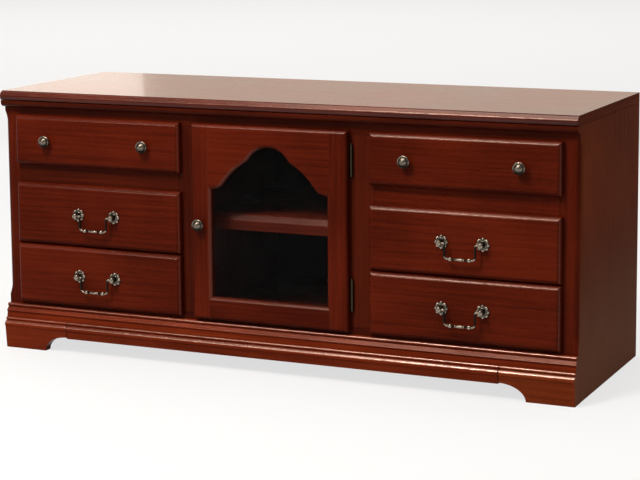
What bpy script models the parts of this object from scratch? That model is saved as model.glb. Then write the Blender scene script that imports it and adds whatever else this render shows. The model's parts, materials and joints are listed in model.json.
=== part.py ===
"""Cherry media cabinet: six drawers beside a glazed door, on a moulded base with bracket feet.

Metres, +Z up, the front faces -Y. Every piece is modelled in cabinet coordinates, where y = 0 is the
face of the front frame and z = 0 the floor. One empty then centres the cabinet over the origin.
"""
import math

import bmesh
import bpy

# Overall sizes
WIDTH = 1.626
HEIGHT = 0.711
CASE_DEPTH = 0.534  # face of the front frame to the back edge of the sides

# Clearances
FIT = 0.0003  # between pieces that touch
DRAWER_PLAY = 0.0015  # between a drawer box and the sides of its opening
DRAWER_HEADROOM = 0.011  # between a drawer box and the rail above it
DRAWER_SEAT = 0.0005  # between a shut drawer front and the frame
BOX_BACK_GAP = 0.064  # between a shut drawer box and the back panel

# Boards
SIDE_THICKNESS = 0.019
PARTITION_THICKNESS = 0.019
BOARD_THICKNESS = 0.019
BACK_THICKNESS = 0.006
BACK_RECESS = 0.004  # back panel's outer face to the back edge of the sides
BACK_FLOOR_GAP = 0.060
CABLE_HOLE_RADIUS = 0.030
CABLE_HOLE_RISE = 0.075  # above the board under the hole

# Top and crown
TOP_THICKNESS = 0.026
NOSE_REACH = 0.025
NOSE_TOP_RADIUS = 0.013
NOSE_UNDER_RADIUS = 0.010
CROWN_HEIGHT = 0.018
CROWN_REACH = 0.021
CROWN_FILLET = 0.004  # flat above the crown's quarter round
TOP_REVEAL = 0.021  # crown to the top of the drawers

# Front frame
FRAME_THICKNESS = 0.022
POST_WIDTH = 0.051
POST_ROUND = 0.016
POST_EDGE = 0.0006  # eased edge where the round-over has faded out
ROUND_STOP_LENGTH = 0.030  # the round-over fades out over this length
ROUND_BASE_GAP = 0.023  # base to the foot of the round-over
ROUND_CROWN_GAP = 0.012  # crown to the head of the round-over
OVERLAY = 0.010  # drawer fronts over the frame
MULLION_SHOW = 0.039  # mullion seen between the door and the left drawers
PARTITION_INSET = 0.005  # partition behind the edge of the drawer fronts

# Drawers
FRONT_THICKNESS = 0.020
FRONT_ROUND = 0.007
TOP_DRAWER_HEIGHT = 0.134
RAIL_SHOW = 0.050  # rail seen between the top and middle drawers
MIDDLE_DRAWER_HEIGHT = 0.165
DRAWER_GAP = 0.004  # middle to bottom drawer
BASE_REVEAL = 0.009  # bottom drawers to the base
BOX_WALL = 0.012
BOX_FLOOR = 0.008

# Door
DOOR_WIDTH = 0.442
DOOR_OFFSET = -0.009  # middle of the door from the middle of the cabinet
DOOR_THICKNESS = 0.020
DOOR_SEAT = 0.0029  # room for the hinge leaves between door and frame
STILE_WIDTH = 0.056
DOOR_BOTTOM_RAIL = 0.060
DOOR_ROUND = 0.006
INNER_CHAMFER = 0.007  # round the glass
INNER_EDGE = 0.0004  # eased inner edge of the stiles beside the rails
LATCH_OVERLAY = 0.018
HINGE_OVERLAY = 0.010
REBATE_WIDTH = 0.007
REBATE_DEPTH = 0.009
GLASS_THICKNESS = 0.004
ARCH_CROWN = 0.053  # arched rail at its middle
# Crown, neck and shoulder of the arch: radius as a part of its half width, and slope at the outer end.
ARCH_BENDS = ((0.388, 57), (-0.242, 30), (1.152, 55))
ARCH_BACK_MARGIN = 0.010  # arch crown to the top of the glass
DOOR_KNOB_INSET = 0.0245  # knob from the door's edge
DOOR_KNOB_DROP = 0.006  # knob below the middle of the door

# Hinges
HINGE_LENGTH = 0.078
HINGE_TOP_DROP = 0.036  # door top to the upper hinge
HINGE_FOOT_RISE = 0.055  # door foot to the lower hinge
BARREL_RADIUS = 0.0045
BARREL_GAP = 0.001
PIN_RADIUS = 0.002
LEAF_THICKNESS = 0.001
DOOR_LEAF_WIDTH = 0.026
FRAME_FLANGE_DEPTH = 0.018
KNUCKLES = 5

# Shelf
SHELF_RISE = 0.264  # bottom panel to the top of the shelf
SHELF_SETBACK = 0.045
SHELF_LIP_HEIGHT = 0.043
SHELF_LIP_THICKNESS = 0.022
SHELF_ROUND = 0.009

# Base
BASE_HEIGHT = 0.122
BASE_BOARD_HEIGHT = 0.0845
CAP_BEAD_RADIUS = 0.0045
CAP_BEAD_SEAT = 0.010
CAP_ROUND_RADIUS = 0.0065
CAP_ROUND_SEAT = 0.0135
CAP_FOOT_REACH = 0.0195
BOARD_BEAD_RADIUS = 0.0043
BOARD_BEAD_SEAT = 0.0205
BOARD_ROUND_RADIUS = 0.0105
BOARD_ROUND_SEAT = 0.0215
BOARD_ROUND_LIP = 0.0035
BOARD_FACE_REACH = 0.030
FOOT_TAPER = 0.006  # the foot's face leans back by this much at the floor
APRON_BOTTOM = 0.040
FOOT_LENGTH = 0.195
FOOT_FLAT = 0.125
FOOT_CURVE_HEIGHT = 0.043
DOWNSTAND_BOTTOM = 0.060

# Knobs and pulls
KNOB_SPACING = 0.300
KNOB_RADIUS = 0.016
KNOB_FLANGE_RADIUS = 0.010
KNOB_FLANGE_THICKNESS = 0.0016
KNOB_STEM_RADIUS = 0.0055
KNOB_STEM_LENGTH = 0.011  # board to the underside of the head
KNOB_STEM_FLARE = 0.0025  # the stem widens over this length at both ends
KNOB_HEAD_THICKNESS = 0.005  # underside of the head to its rim
KNOB_UNDERCUT = 0.004  # the underside of the head is narrower than the rim
KNOB_RIM_ROUND = 0.0022
KNOB_RING_WIDTH = 0.0065  # raised ring between the rim and the button
KNOB_GROOVE_RISE = 0.0026  # rim to the groove round the button
KNOB_BUTTON_RISE = 0.0074  # groove to the top of the button
PULL_SPACING = 0.109
PULL_RISE = 0.004  # posts above the middle of the drawer front
ROSETTE_RADIUS = 0.017
ROSETTE_EDGE = 0.002
ROSETTE_CROWN_RADIUS = 0.0122
ROSETTE_CROWN_RISE = 0.0055
ROSETTE_PETALS = 8
ROSETTE_PETAL_DEPTH = 0.0012
POST_BOSS_RADIUS = 0.007
POST_AXIS_REACH = 0.018  # drawer front to the bail's axis
POST_BOSS_END = 0.0065  # bail's axis to the end of the post
POST_BOSS_ROUND = 0.003
POST_BOSS_FLARE = 0.0014  # the post widens by this much where it meets the rosette
POST_HOLE_RADIUS = 0.0028
POST_HOLE_DEPTH = 0.0055
BAIL_TAIL_RADIUS = 0.0023
BAIL_TAIL_LENGTH = 0.0045  # inside the post
BAIL_LEG_RADIUS = 0.0028
BAIL_DROP = 0.0395
BAIL_LEG_INSET = 0.014  # leg from the post's middle
BAIL_CORNER = 0.006
BAIL_FOOT_CORNER = 0.010
BAIL_BEAD_RADIUS = 0.0045
BAIL_BEAD_SWELL = 0.003  # half the length of a bead
BAIL_BEAD_PLACE = 0.0225  # bead from the middle of the grip
BAIL_GRIP_RADIUS = 0.0038
BAIL_GRIP_HALF = 0.012

ARC_STEPS = 6
TURN_SEGMENTS = 24
BEND_STEPS = 4
DOME_STEPS = 4
SMOOTH_ANGLE = 40  # degrees

# Places worked out from the sizes above
HALF = WIDTH / 2
TOP_UNDER = HEIGHT - TOP_THICKNESS
CROWN_BOTTOM = TOP_UNDER - CROWN_HEIGHT
DRAWERS_TOP = CROWN_BOTTOM - TOP_REVEAL
TOP_DRAWER_BOTTOM = DRAWERS_TOP - TOP_DRAWER_HEIGHT
MIDDLE_DRAWER_TOP = TOP_DRAWER_BOTTOM - RAIL_SHOW
MIDDLE_DRAWER_BOTTOM = MIDDLE_DRAWER_TOP - MIDDLE_DRAWER_HEIGHT
BOTTOM_DRAWER_TOP = MIDDLE_DRAWER_BOTTOM - DRAWER_GAP
DRAWERS_BOTTOM = BASE_HEIGHT + BASE_REVEAL
FLOOR_TOP = BASE_HEIGHT + BOARD_THICKNESS
TOP_RAIL_BOTTOM = DRAWERS_TOP - OVERLAY
UPPER_DIVIDER_TOP = TOP_DRAWER_BOTTOM + OVERLAY
UPPER_DIVIDER_BOTTOM = MIDDLE_DRAWER_TOP - OVERLAY
LOWER_DIVIDER_BOTTOM = (MIDDLE_DRAWER_BOTTOM + BOTTOM_DRAWER_TOP - BOARD_THICKNESS) / 2
LOWER_DIVIDER_TOP = LOWER_DIVIDER_BOTTOM + BOARD_THICKNESS
SHELF_TOP = FLOOR_TOP + SHELF_RISE

DOOR_LEFT = DOOR_OFFSET - DOOR_WIDTH / 2
DOOR_RIGHT = DOOR_OFFSET + DOOR_WIDTH / 2
OPENING_LEFT = DOOR_LEFT + LATCH_OVERLAY
OPENING_RIGHT = DOOR_RIGHT - HINGE_OVERLAY
COLUMN_INNER = DOOR_WIDTH / 2 + abs(DOOR_OFFSET) + MULLION_SHOW
COLUMN_OUTER = HALF - POST_WIDTH + OVERLAY
COLUMN_MIDDLE = (COLUMN_INNER + COLUMN_OUTER) / 2
MULLION_OUTER = COLUMN_INNER + OVERLAY
POST_INNER = HALF - POST_WIDTH
SIDE_INNER = HALF - SIDE_THICKNESS
PARTITION_OUTER = COLUMN_INNER - PARTITION_INSET
PARTITION_INNER = PARTITION_OUTER - PARTITION_THICKNESS

BOARD_FRONT = FRAME_THICKNESS + FIT
BACK_FACE = CASE_DEPTH - BACK_RECESS - BACK_THICKNESS
BOARD_BACK = BACK_FACE - FIT
DRAWER_FACE = -DRAWER_SEAT - FRONT_THICKNESS
DOOR_FACE = -DOOR_SEAT - DOOR_THICKNESS
GLASS_TOP = DRAWERS_TOP - ARCH_CROWN + ARCH_BACK_MARGIN
HINGE_X = DOOR_RIGHT + BARREL_GAP + BARREL_RADIUS
HINGE_Y = -FIT - BARREL_RADIUS
KNOB_RIM = KNOB_STEM_LENGTH + KNOB_HEAD_THICKNESS
KNOB_LENGTH = KNOB_RIM + KNOB_GROOVE_RISE + KNOB_BUTTON_RISE
POST_LENGTH = POST_AXIS_REACH + POST_BOSS_END

# The cabinet is centred front to back over the origin, knobs included.
FRONT_REACH = -DOOR_FACE + FIT + KNOB_LENGTH
FACE_Y = (FRONT_REACH - CASE_DEPTH) / 2

CHERRY = ((0.095, 0.012, 0.006), 0.30, 0.0)
CHERRY_BASE = ((0.150, 0.018, 0.009), 0.30, 0.0)
DRAWER_WOOD = ((0.480, 0.330, 0.190), 0.60, 0.0)
BACK_BOARD = ((0.160, 0.085, 0.045), 0.75, 0.0)
PEWTER = ((0.330, 0.290, 0.240), 0.35, 1.0)
HINGE_BRASS = ((0.200, 0.150, 0.090), 0.40, 1.0)
GLASS = ((0.800, 0.860, 0.850), 0.04, 0.0)


def clear_scene():
    """Remove every object, so that the script can run again."""
    for old in list(bpy.data.objects):
        bpy.data.objects.remove(old, do_unlink=True)


def empty(name, place, parent=None):
    """A guide that carries other objects, placed in cabinet coordinates."""
    guide = bpy.data.objects.new(name, None)
    bpy.context.scene.collection.objects.link(guide)
    attach(guide, place, parent)
    return guide


def attach(obj, place, parent):
    """Put an object's origin at a place in cabinet coordinates, under its parent."""
    obj["place"] = place
    if parent is None:
        obj.location = place
        return
    base = parent["place"] if parent.parent else (0, 0, 0)
    obj.parent = parent
    obj.location = [place[i] - base[i] for i in range(3)]


def paint(obj, finish):
    """Give an object its own material."""
    colour, roughness, metallic = finish
    material = bpy.data.materials.new(obj.name + "_finish")
    material.use_nodes = True
    shader = material.node_tree.nodes["Principled BSDF"]
    shader.inputs["Base Color"].default_value = (*colour, 1.0)
    shader.inputs["Roughness"].default_value = roughness
    shader.inputs["Metallic"].default_value = metallic
    if finish is GLASS:
        shader.inputs["Transmission Weight"].default_value = 1.0
    obj.data.materials.append(material)


def place_mesh(name, bm, finish, parent, origin=(0, 0, 0), smooth=False):
    """Make an object from a bmesh in cabinet coordinates, with its origin at a given place."""
    bmesh.ops.recalc_face_normals(bm, faces=bm.faces)
    bmesh.ops.translate(bm, verts=bm.verts, vec=[-c for c in origin])
    mesh = bpy.data.meshes.new(name)
    bm.to_mesh(mesh)
    bm.free()
    if smooth:
        mesh.shade_smooth()
        mesh.set_sharp_from_angle(angle=math.radians(SMOOTH_ANGLE))
    obj = bpy.data.objects.new(name, mesh)
    bpy.context.scene.collection.objects.link(obj)
    attach(obj, origin, parent)
    if finish is not None:
        paint(obj, finish)
    return obj


def loft(sections):
    """A closed solid through outlines of equal length, capped at both ends."""
    bm = bmesh.new()
    loops = [[bm.verts.new(point) for point in section] for section in sections]
    count = len(loops[0])
    for low, high in zip(loops, loops[1:]):
        for i in range(count):
            j = (i + 1) % count
            bm.faces.new((low[i], low[j], high[j], high[i]))
    bm.faces.new(loops[0])
    bm.faces.new(loops[-1])
    return bm


def across(outline, start, end):
    """An outline of (y, z) points drawn out along X."""
    return loft([[(x, y, z) for y, z in outline] for x in (start, end)])


def upright(outline, start, end):
    """An outline of (x, y) points drawn out along Z."""
    return loft([[(x, y, z) for x, y in outline] for z in (start, end)])


def deep(outline, start, end):
    """An outline of (x, z) points drawn out along Y."""
    return loft([[(x, y, z) for x, z in outline] for y in (start, end)])


def block(x, y, z):
    """A plain board between two limits on each axis."""
    (x0, x1), (y0, y1), (z0, z1) = x, y, z
    return upright([(x0, y0), (x1, y0), (x1, y1), (x0, y1)], z0, z1)


def arc(centre, radius, start, end, steps=ARC_STEPS):
    """Points on an arc, with its angles in degrees."""
    points = []
    for i in range(steps + 1):
        angle = math.radians(start + (end - start) * i / steps)
        points.append((centre[0] + radius * math.cos(angle), centre[1] + radius * math.sin(angle)))
    return points


def turned(profile, segments=TURN_SEGMENTS, wave=None):
    """Turn a profile of (radius, height) about an axis that points out of the front (-Y)."""
    bm = bmesh.new()
    rings = []
    for radius, height in profile:
        ring = []
        for i in range(segments):
            angle = 2 * math.pi * i / segments
            r = radius + (wave(angle, radius) if wave else 0.0)
            ring.append(bm.verts.new((r * math.cos(angle), -height, r * math.sin(angle))))
        rings.append(ring)
    for low, high in zip(rings, rings[1:]):
        for i in range(segments):
            j = (i + 1) % segments
            bm.faces.new((low[i], low[j], high[j], high[i]))
    bm.faces.new(rings[0])
    bm.faces.new(rings[-1])
    return bm


def moved(bm, offset):
    """The same mesh, moved."""
    bmesh.ops.translate(bm, verts=bm.verts, vec=offset)
    return bm


def shape_with(obj, helper_bm, operation):
    """Join a helper solid to an object, or cut it away, and hide the helper."""
    step = len(obj.modifiers)
    helper = place_mesh(f"{obj.name}_guide_{step}", helper_bm, None, obj.parent, tuple(obj["place"]))
    helper.hide_render = True
    helper.display_type = "WIRE"
    modifier = obj.modifiers.new(f"{operation.lower()}_{step}", "BOOLEAN")
    modifier.operation = operation
    modifier.object = helper
    modifier.solver = "EXACT"


def mirrored(outline, side):
    """An outline with its first coordinate mirrored for the left side."""
    return [(side * a, b) for a, b in outline]


def span(side, inner, outer):
    """Limits in X of a piece between two distances from the middle, in rising order."""
    return tuple(sorted((side * inner, side * outer)))


def make_top(root):
    nose = -NOSE_REACH
    upper = arc((nose + NOSE_TOP_RADIUS, HEIGHT - NOSE_TOP_RADIUS), NOSE_TOP_RADIUS, 90, 180)
    lower = arc((nose + NOSE_UNDER_RADIUS, TOP_UNDER + NOSE_UNDER_RADIUS), NOSE_UNDER_RADIUS, 180, 270)
    outline = [(CASE_DEPTH, TOP_UNDER), (CASE_DEPTH, HEIGHT)] + upper + lower
    place_mesh("top_board", across(outline, -HALF, HALF), CHERRY, root)

    top = TOP_UNDER - FIT
    radius = CROWN_HEIGHT - FIT - CROWN_FILLET
    round_start = (-CROWN_REACH + radius, CROWN_BOTTOM + radius)
    outline = [(-FIT, top), (-CROWN_REACH, top)]
    outline += arc(round_start, radius, 180, 270)
    outline.append((-FIT, CROWN_BOTTOM))
    place_mesh("crown_moulding", across(outline, -HALF, HALF), CHERRY, root)


def make_post(root, word, side):
    """A corner post whose outer front edge has a round-over that fades out before both ends."""
    low = BASE_HEIGHT + ROUND_BASE_GAP
    high = CROWN_BOTTOM - ROUND_CROWN_GAP
    levels = [(0.0, POST_EDGE), (low, POST_EDGE)]
    for i in range(1, ARC_STEPS + 1):
        share = i / ARC_STEPS
        radius = POST_EDGE + (POST_ROUND - POST_EDGE) * math.sin(share * math.pi / 2)
        levels.append((low + ROUND_STOP_LENGTH * share, radius))
    levels += [(low + high - z, radius) for z, radius in reversed(levels[1:])]
    levels.append((TOP_UNDER - FIT, POST_EDGE))
    sections = []
    for z, radius in levels:
        outline = [(POST_INNER, FRAME_THICKNESS), (POST_INNER, 0.0)]
        outline += arc((HALF - radius, radius), radius, -90, 0)
        outline.append((HALF, FRAME_THICKNESS))
        sections.append([(side * x, y, z) for x, y in outline])
    place_mesh(word + "_corner_post", loft(sections), CHERRY, root)


def column_plan(side):
    """Plan of a board that fills a drawer column and reaches forward between the frame's uprights."""
    front_in, front_out = MULLION_OUTER + FIT, POST_INNER - FIT
    back_in, back_out = PARTITION_OUTER + FIT, SIDE_INNER - FIT
    outline = [(front_in, 0.0), (front_out, 0.0), (front_out, BOARD_FRONT), (back_out, BOARD_FRONT)]
    outline += [(back_out, BOARD_BACK), (back_in, BOARD_BACK)]
    outline += [(back_in, BOARD_FRONT), (front_in, BOARD_FRONT)]
    return mirrored(outline, side)


def make_case_side(root, word, side):
    """Side, post, mullion, partition and dividers of one drawer column."""
    board = block(span(side, SIDE_INNER, HALF), (BOARD_FRONT, CASE_DEPTH), (0.0, TOP_UNDER - FIT))
    place_mesh(word + "_side_panel", board, CHERRY, root)
    make_post(root, word, side)

    opening = OPENING_RIGHT if side > 0 else OPENING_LEFT
    limits = tuple(sorted((opening, side * MULLION_OUTER)))
    board = block(limits, (0.0, FRAME_THICKNESS), (FLOOR_TOP + FIT, TOP_RAIL_BOTTOM - FIT))
    place_mesh(word + "_mullion", board, CHERRY, root)

    depth = (BOARD_FRONT, BOARD_BACK)
    board = block(span(side, PARTITION_INNER, PARTITION_OUTER), depth, (FLOOR_TOP + FIT, TOP_UNDER - FIT))
    place_mesh(word + "_partition", board, CHERRY, root)

    plan = column_plan(side)
    board = upright(plan, UPPER_DIVIDER_TOP - BOARD_THICKNESS, UPPER_DIVIDER_TOP)
    divider = place_mesh(word + "_upper_divider", board, CHERRY, root)
    between = span(side, MULLION_OUTER + FIT, POST_INNER - FIT)
    levels = (UPPER_DIVIDER_BOTTOM, UPPER_DIVIDER_TOP - BOARD_THICKNESS / 2)
    shape_with(divider, block(between, (0.0, FRAME_THICKNESS), levels), "UNION")

    board = upright(plan, LOWER_DIVIDER_BOTTOM, LOWER_DIVIDER_TOP)
    place_mesh(word + "_lower_divider", board, CHERRY, root)


def make_case_middle(root):
    """Top rail, bottom panel, back and shelf."""
    rail = (-POST_INNER + FIT, POST_INNER - FIT)
    board = block(rail, (0.0, FRAME_THICKNESS), (TOP_RAIL_BOTTOM, TOP_UNDER - FIT))
    place_mesh("top_rail", board, CHERRY, root)

    inside = SIDE_INNER - FIT
    front = POST_INNER - FIT
    plan = [(-front, 0.0), (front, 0.0), (front, BOARD_FRONT), (inside, BOARD_FRONT)]
    plan += [(inside, BOARD_BACK), (-inside, BOARD_BACK), (-inside, BOARD_FRONT), (-front, BOARD_FRONT)]
    panel = place_mesh("bottom_panel", upright(plan, BASE_HEIGHT, FLOOR_TOP), CHERRY, root)
    downstand = block(rail, (0.0, FRAME_THICKNESS), (DOWNSTAND_BOTTOM, BASE_HEIGHT + BOARD_THICKNESS / 2))
    shape_with(panel, downstand, "UNION")

    limits = (-inside, inside)
    board = block(limits, (BACK_FACE, BACK_FACE + BACK_THICKNESS), (BACK_FLOOR_GAP, TOP_UNDER - FIT))
    back = place_mesh("back_panel", board, BACK_BOARD, root)
    for level in (FLOOR_TOP, SHELF_TOP):
        ring = arc((0.0, level + CABLE_HOLE_RISE), CABLE_HOLE_RADIUS, 0, 360, TURN_SEGMENTS)[:-1]
        shape_with(back, deep(ring, BACK_FACE - BACK_THICKNESS, CASE_DEPTH), "DIFFERENCE")

    lip_back = SHELF_SETBACK + SHELF_LIP_THICKNESS
    lip_bottom = SHELF_TOP - SHELF_LIP_HEIGHT
    outline = [(BOARD_BACK, SHELF_TOP)]
    outline += arc((SHELF_SETBACK + SHELF_ROUND, SHELF_TOP - SHELF_ROUND), SHELF_ROUND, 90, 180)
    outline += [(SHELF_SETBACK, lip_bottom), (lip_back, lip_bottom)]
    outline += [(lip_back, SHELF_TOP - BOARD_THICKNESS), (BOARD_BACK, SHELF_TOP - BOARD_THICKNESS)]
    reach = PARTITION_INNER - FIT
    place_mesh("shelf", across(outline, -reach, reach), CHERRY, root)


def base_board_outline(bottom):
    """Moulded face of the base board, from its top down to a given height."""
    face_top = BASE_BOARD_HEIGHT - 2 * BOARD_BEAD_RADIUS - BOARD_ROUND_RADIUS - BOARD_ROUND_LIP
    lean = FOOT_TAPER * (face_top - bottom) / face_top
    bead = (-BOARD_BEAD_SEAT, BASE_BOARD_HEIGHT - BOARD_BEAD_RADIUS)
    round_middle = (-BOARD_ROUND_SEAT, BASE_BOARD_HEIGHT - 2 * BOARD_BEAD_RADIUS - BOARD_ROUND_RADIUS)
    outline = [(-FIT, BASE_BOARD_HEIGHT)]
    outline += arc(bead, BOARD_BEAD_RADIUS, 90, 270)
    outline += arc(round_middle, BOARD_ROUND_RADIUS, 90, 180)
    outline.append((-BOARD_FACE_REACH, face_top))
    outline += [(-BOARD_FACE_REACH + lean, bottom), (-FIT, bottom)]
    return outline


def make_foot(root, word, side):
    """A bracket foot: the base board with a concave curve cut up into its inner end."""
    curve_length = FOOT_LENGTH - FOOT_FLAT
    stations = [(HALF, 0.0), (HALF - FOOT_FLAT, 0.0)]
    steps = 2 * ARC_STEPS
    for i in range(1, steps + 1):
        angle = math.pi / 2 * i / steps
        x = HALF - FOOT_FLAT - curve_length * (1 - math.cos(angle))
        stations.append((x, FOOT_CURVE_HEIGHT * math.sin(angle)))
    sections = [[(side * x, y, z) for y, z in base_board_outline(bottom)] for x, bottom in stations]
    place_mesh(word + "_foot", loft(sections), CHERRY_BASE, root)


def make_base(root):
    bottom = BASE_BOARD_HEIGHT + FIT
    bead = (-CAP_BEAD_SEAT, BASE_HEIGHT - CAP_BEAD_RADIUS)
    thick = (-CAP_ROUND_SEAT, BASE_HEIGHT - 2 * CAP_BEAD_RADIUS - CAP_ROUND_RADIUS)
    outline = [(-FIT, BASE_HEIGHT)]
    outline += arc(bead, CAP_BEAD_RADIUS, 90, 270)
    outline += arc(thick, CAP_ROUND_RADIUS, 90, 250)
    outline += [(-CAP_FOOT_REACH, bottom), (-FIT, bottom)]
    place_mesh("base_cap_moulding", across(outline, -HALF, HALF), CHERRY_BASE, root)

    reach = HALF - FOOT_LENGTH - FIT
    apron = across(base_board_outline(APRON_BOTTOM), -reach, reach)
    place_mesh("base_apron", apron, CHERRY_BASE, root)
    make_foot(root, "left", -1)
    make_foot(root, "right", 1)


def rounded_front(x, z, back, face, radius):
    """A board whose face edges are rounded over all round."""
    (x0, x1), (z0, z1) = x, z
    steps = [(back, 0.0)]
    for i in range(ARC_STEPS // 2 + 1):
        angle = math.pi / 2 * i / (ARC_STEPS // 2)
        steps.append((face + radius * (1 - math.sin(angle)), radius * (1 - math.cos(angle))))
    sections = []
    for y, inset in steps:
        corners = ((x0 + inset, z0 + inset), (x1 - inset, z0 + inset))
        corners += ((x1 - inset, z1 - inset), (x0 + inset, z1 - inset))
        sections.append([(px, y, pz) for px, pz in corners])
    return loft(sections)


def tray(x, y, z):
    """An open drawer box: four walls and a floor in one piece."""
    (x0, x1), (y0, y1), (z0, z1) = x, y, z

    def ring(inset, height):
        corners = ((x0 + inset, y0 + inset), (x1 - inset, y0 + inset))
        corners += ((x1 - inset, y1 - inset), (x0 + inset, y1 - inset))
        return [(px, py, height) for px, py in corners]

    return loft([ring(0, z0), ring(0, z1), ring(BOX_WALL, z1), ring(BOX_WALL, z0 + BOX_FLOOR)])


def knob_profile():
    """Turned knob: flange, stem, and a wide head with a raised button in a ring."""
    profile = [(KNOB_FLANGE_RADIUS, 0.0), (KNOB_FLANGE_RADIUS, KNOB_FLANGE_THICKNESS)]
    profile.append((KNOB_STEM_RADIUS, KNOB_FLANGE_THICKNESS + KNOB_STEM_FLARE))
    profile.append((KNOB_STEM_RADIUS, KNOB_STEM_LENGTH - KNOB_STEM_FLARE))
    profile.append((KNOB_RADIUS - KNOB_UNDERCUT, KNOB_STEM_LENGTH))
    profile += [(KNOB_RADIUS, KNOB_RIM), (KNOB_RADIUS - KNOB_RIM_ROUND / 2, KNOB_RIM + KNOB_RIM_ROUND)]
    button = KNOB_RADIUS - KNOB_RING_WIDTH
    profile.append((button + KNOB_RIM_ROUND, KNOB_RIM + KNOB_GROOVE_RISE + KNOB_RIM_ROUND / 2))
    for i in range(DOME_STEPS + 1):
        # The dome stops one step short of its middle, which the flat end closes.
        angle = math.pi / 2 * i / (DOME_STEPS + 1)
        rise = KNOB_BUTTON_RISE * math.sin(angle) / math.cos(math.pi / 2 / (DOME_STEPS + 1))
        profile.append((button * math.cos(angle), KNOB_RIM + KNOB_GROOVE_RISE + rise))
    return profile


def make_knob(name, parent, place):
    knob = moved(turned(knob_profile()), place)
    place_mesh(name, knob, PEWTER, parent, place, smooth=True)


def make_rosette_post(name, parent, place, towards):
    """A petalled rosette with a post, bored from its inner side for the bail's tail."""
    shoulder = POST_BOSS_RADIUS + POST_BOSS_FLARE

    def petals(angle, radius):
        return ROSETTE_PETAL_DEPTH * math.cos(ROSETTE_PETALS * angle) if radius > shoulder else 0.0

    profile = [(ROSETTE_RADIUS, 0.0), (ROSETTE_RADIUS, ROSETTE_EDGE)]
    profile.append((ROSETTE_CROWN_RADIUS, ROSETTE_CROWN_RISE))
    profile.append((shoulder, ROSETTE_CROWN_RISE + POST_BOSS_FLARE / 2))
    profile.append((POST_BOSS_RADIUS, ROSETTE_CROWN_RISE + 3 * POST_BOSS_FLARE))
    profile.append((POST_BOSS_RADIUS, POST_LENGTH - POST_BOSS_ROUND))
    profile.append((POST_BOSS_RADIUS - POST_BOSS_ROUND, POST_LENGTH))
    post = place_mesh(name, moved(turned(profile, wave=petals), place), PEWTER, parent, place, smooth=True)
    axis = (place[1] - POST_AXIS_REACH, place[2])
    hole = arc(axis, POST_HOLE_RADIUS, 0, 360, 2 * ARC_STEPS)[:-1]
    mouth = place[0] + towards * POST_BOSS_RADIUS
    cutter = across(hole, mouth - towards * POST_HOLE_DEPTH, mouth + towards * POST_BOSS_RADIUS)
    shape_with(post, cutter, "DIFFERENCE")


def bail_path():
    """Right half of the bail as (x, z, radius), from the tail in the post to the middle of the grip."""
    mouth = PULL_SPACING / 2 - POST_BOSS_RADIUS
    leg = PULL_SPACING / 2 - BAIL_LEG_INSET
    path = [(mouth + BAIL_TAIL_LENGTH, 0.0, BAIL_TAIL_RADIUS), (mouth - FIT, 0.0, BAIL_TAIL_RADIUS)]
    bend = arc((leg + BAIL_CORNER, -BAIL_CORNER), BAIL_CORNER, 90, 180, BEND_STEPS)
    path += [(x, z, BAIL_LEG_RADIUS) for x, z in bend]
    foot = (leg - BAIL_FOOT_CORNER, -BAIL_DROP + BAIL_FOOT_CORNER)
    path += [(x, z, BAIL_LEG_RADIUS) for x, z in arc(foot, BAIL_FOOT_CORNER, 0, -90, BEND_STEPS)]
    path.append((BAIL_BEAD_PLACE + BAIL_BEAD_SWELL, -BAIL_DROP, BAIL_LEG_RADIUS))
    path.append((BAIL_BEAD_PLACE, -BAIL_DROP, BAIL_BEAD_RADIUS))
    path.append((BAIL_BEAD_PLACE - BAIL_BEAD_SWELL, -BAIL_DROP, BAIL_LEG_RADIUS))
    path.append((BAIL_GRIP_HALF + BAIL_BEAD_SWELL / 2, -BAIL_DROP, BAIL_LEG_RADIUS))
    path.append((BAIL_GRIP_HALF, -BAIL_DROP, BAIL_GRIP_RADIUS))
    return path


def make_bail(name, parent, place):
    """A swinging handle, as a bevelled curve whose origin lies on its axis."""
    half = bail_path()
    whole = half + [(-x, z, radius) for x, z, radius in reversed(half)]
    curve = bpy.data.curves.new(name, "CURVE")
    curve.dimensions = "3D"
    curve.bevel_depth = 1.0
    curve.bevel_resolution = 2
    curve.use_fill_caps = True
    spline = curve.splines.new("POLY")
    spline.points.add(len(whole) - 1)
    for point, (x, z, radius) in zip(spline.points, whole):
        point.co = (x, 0.0, z, 1.0)
        point.radius = radius
    spline.use_smooth = True
    bail = bpy.data.objects.new(name, curve)
    bpy.context.scene.collection.objects.link(bail)
    attach(bail, place, parent)
    paint(bail, PEWTER)


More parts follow.
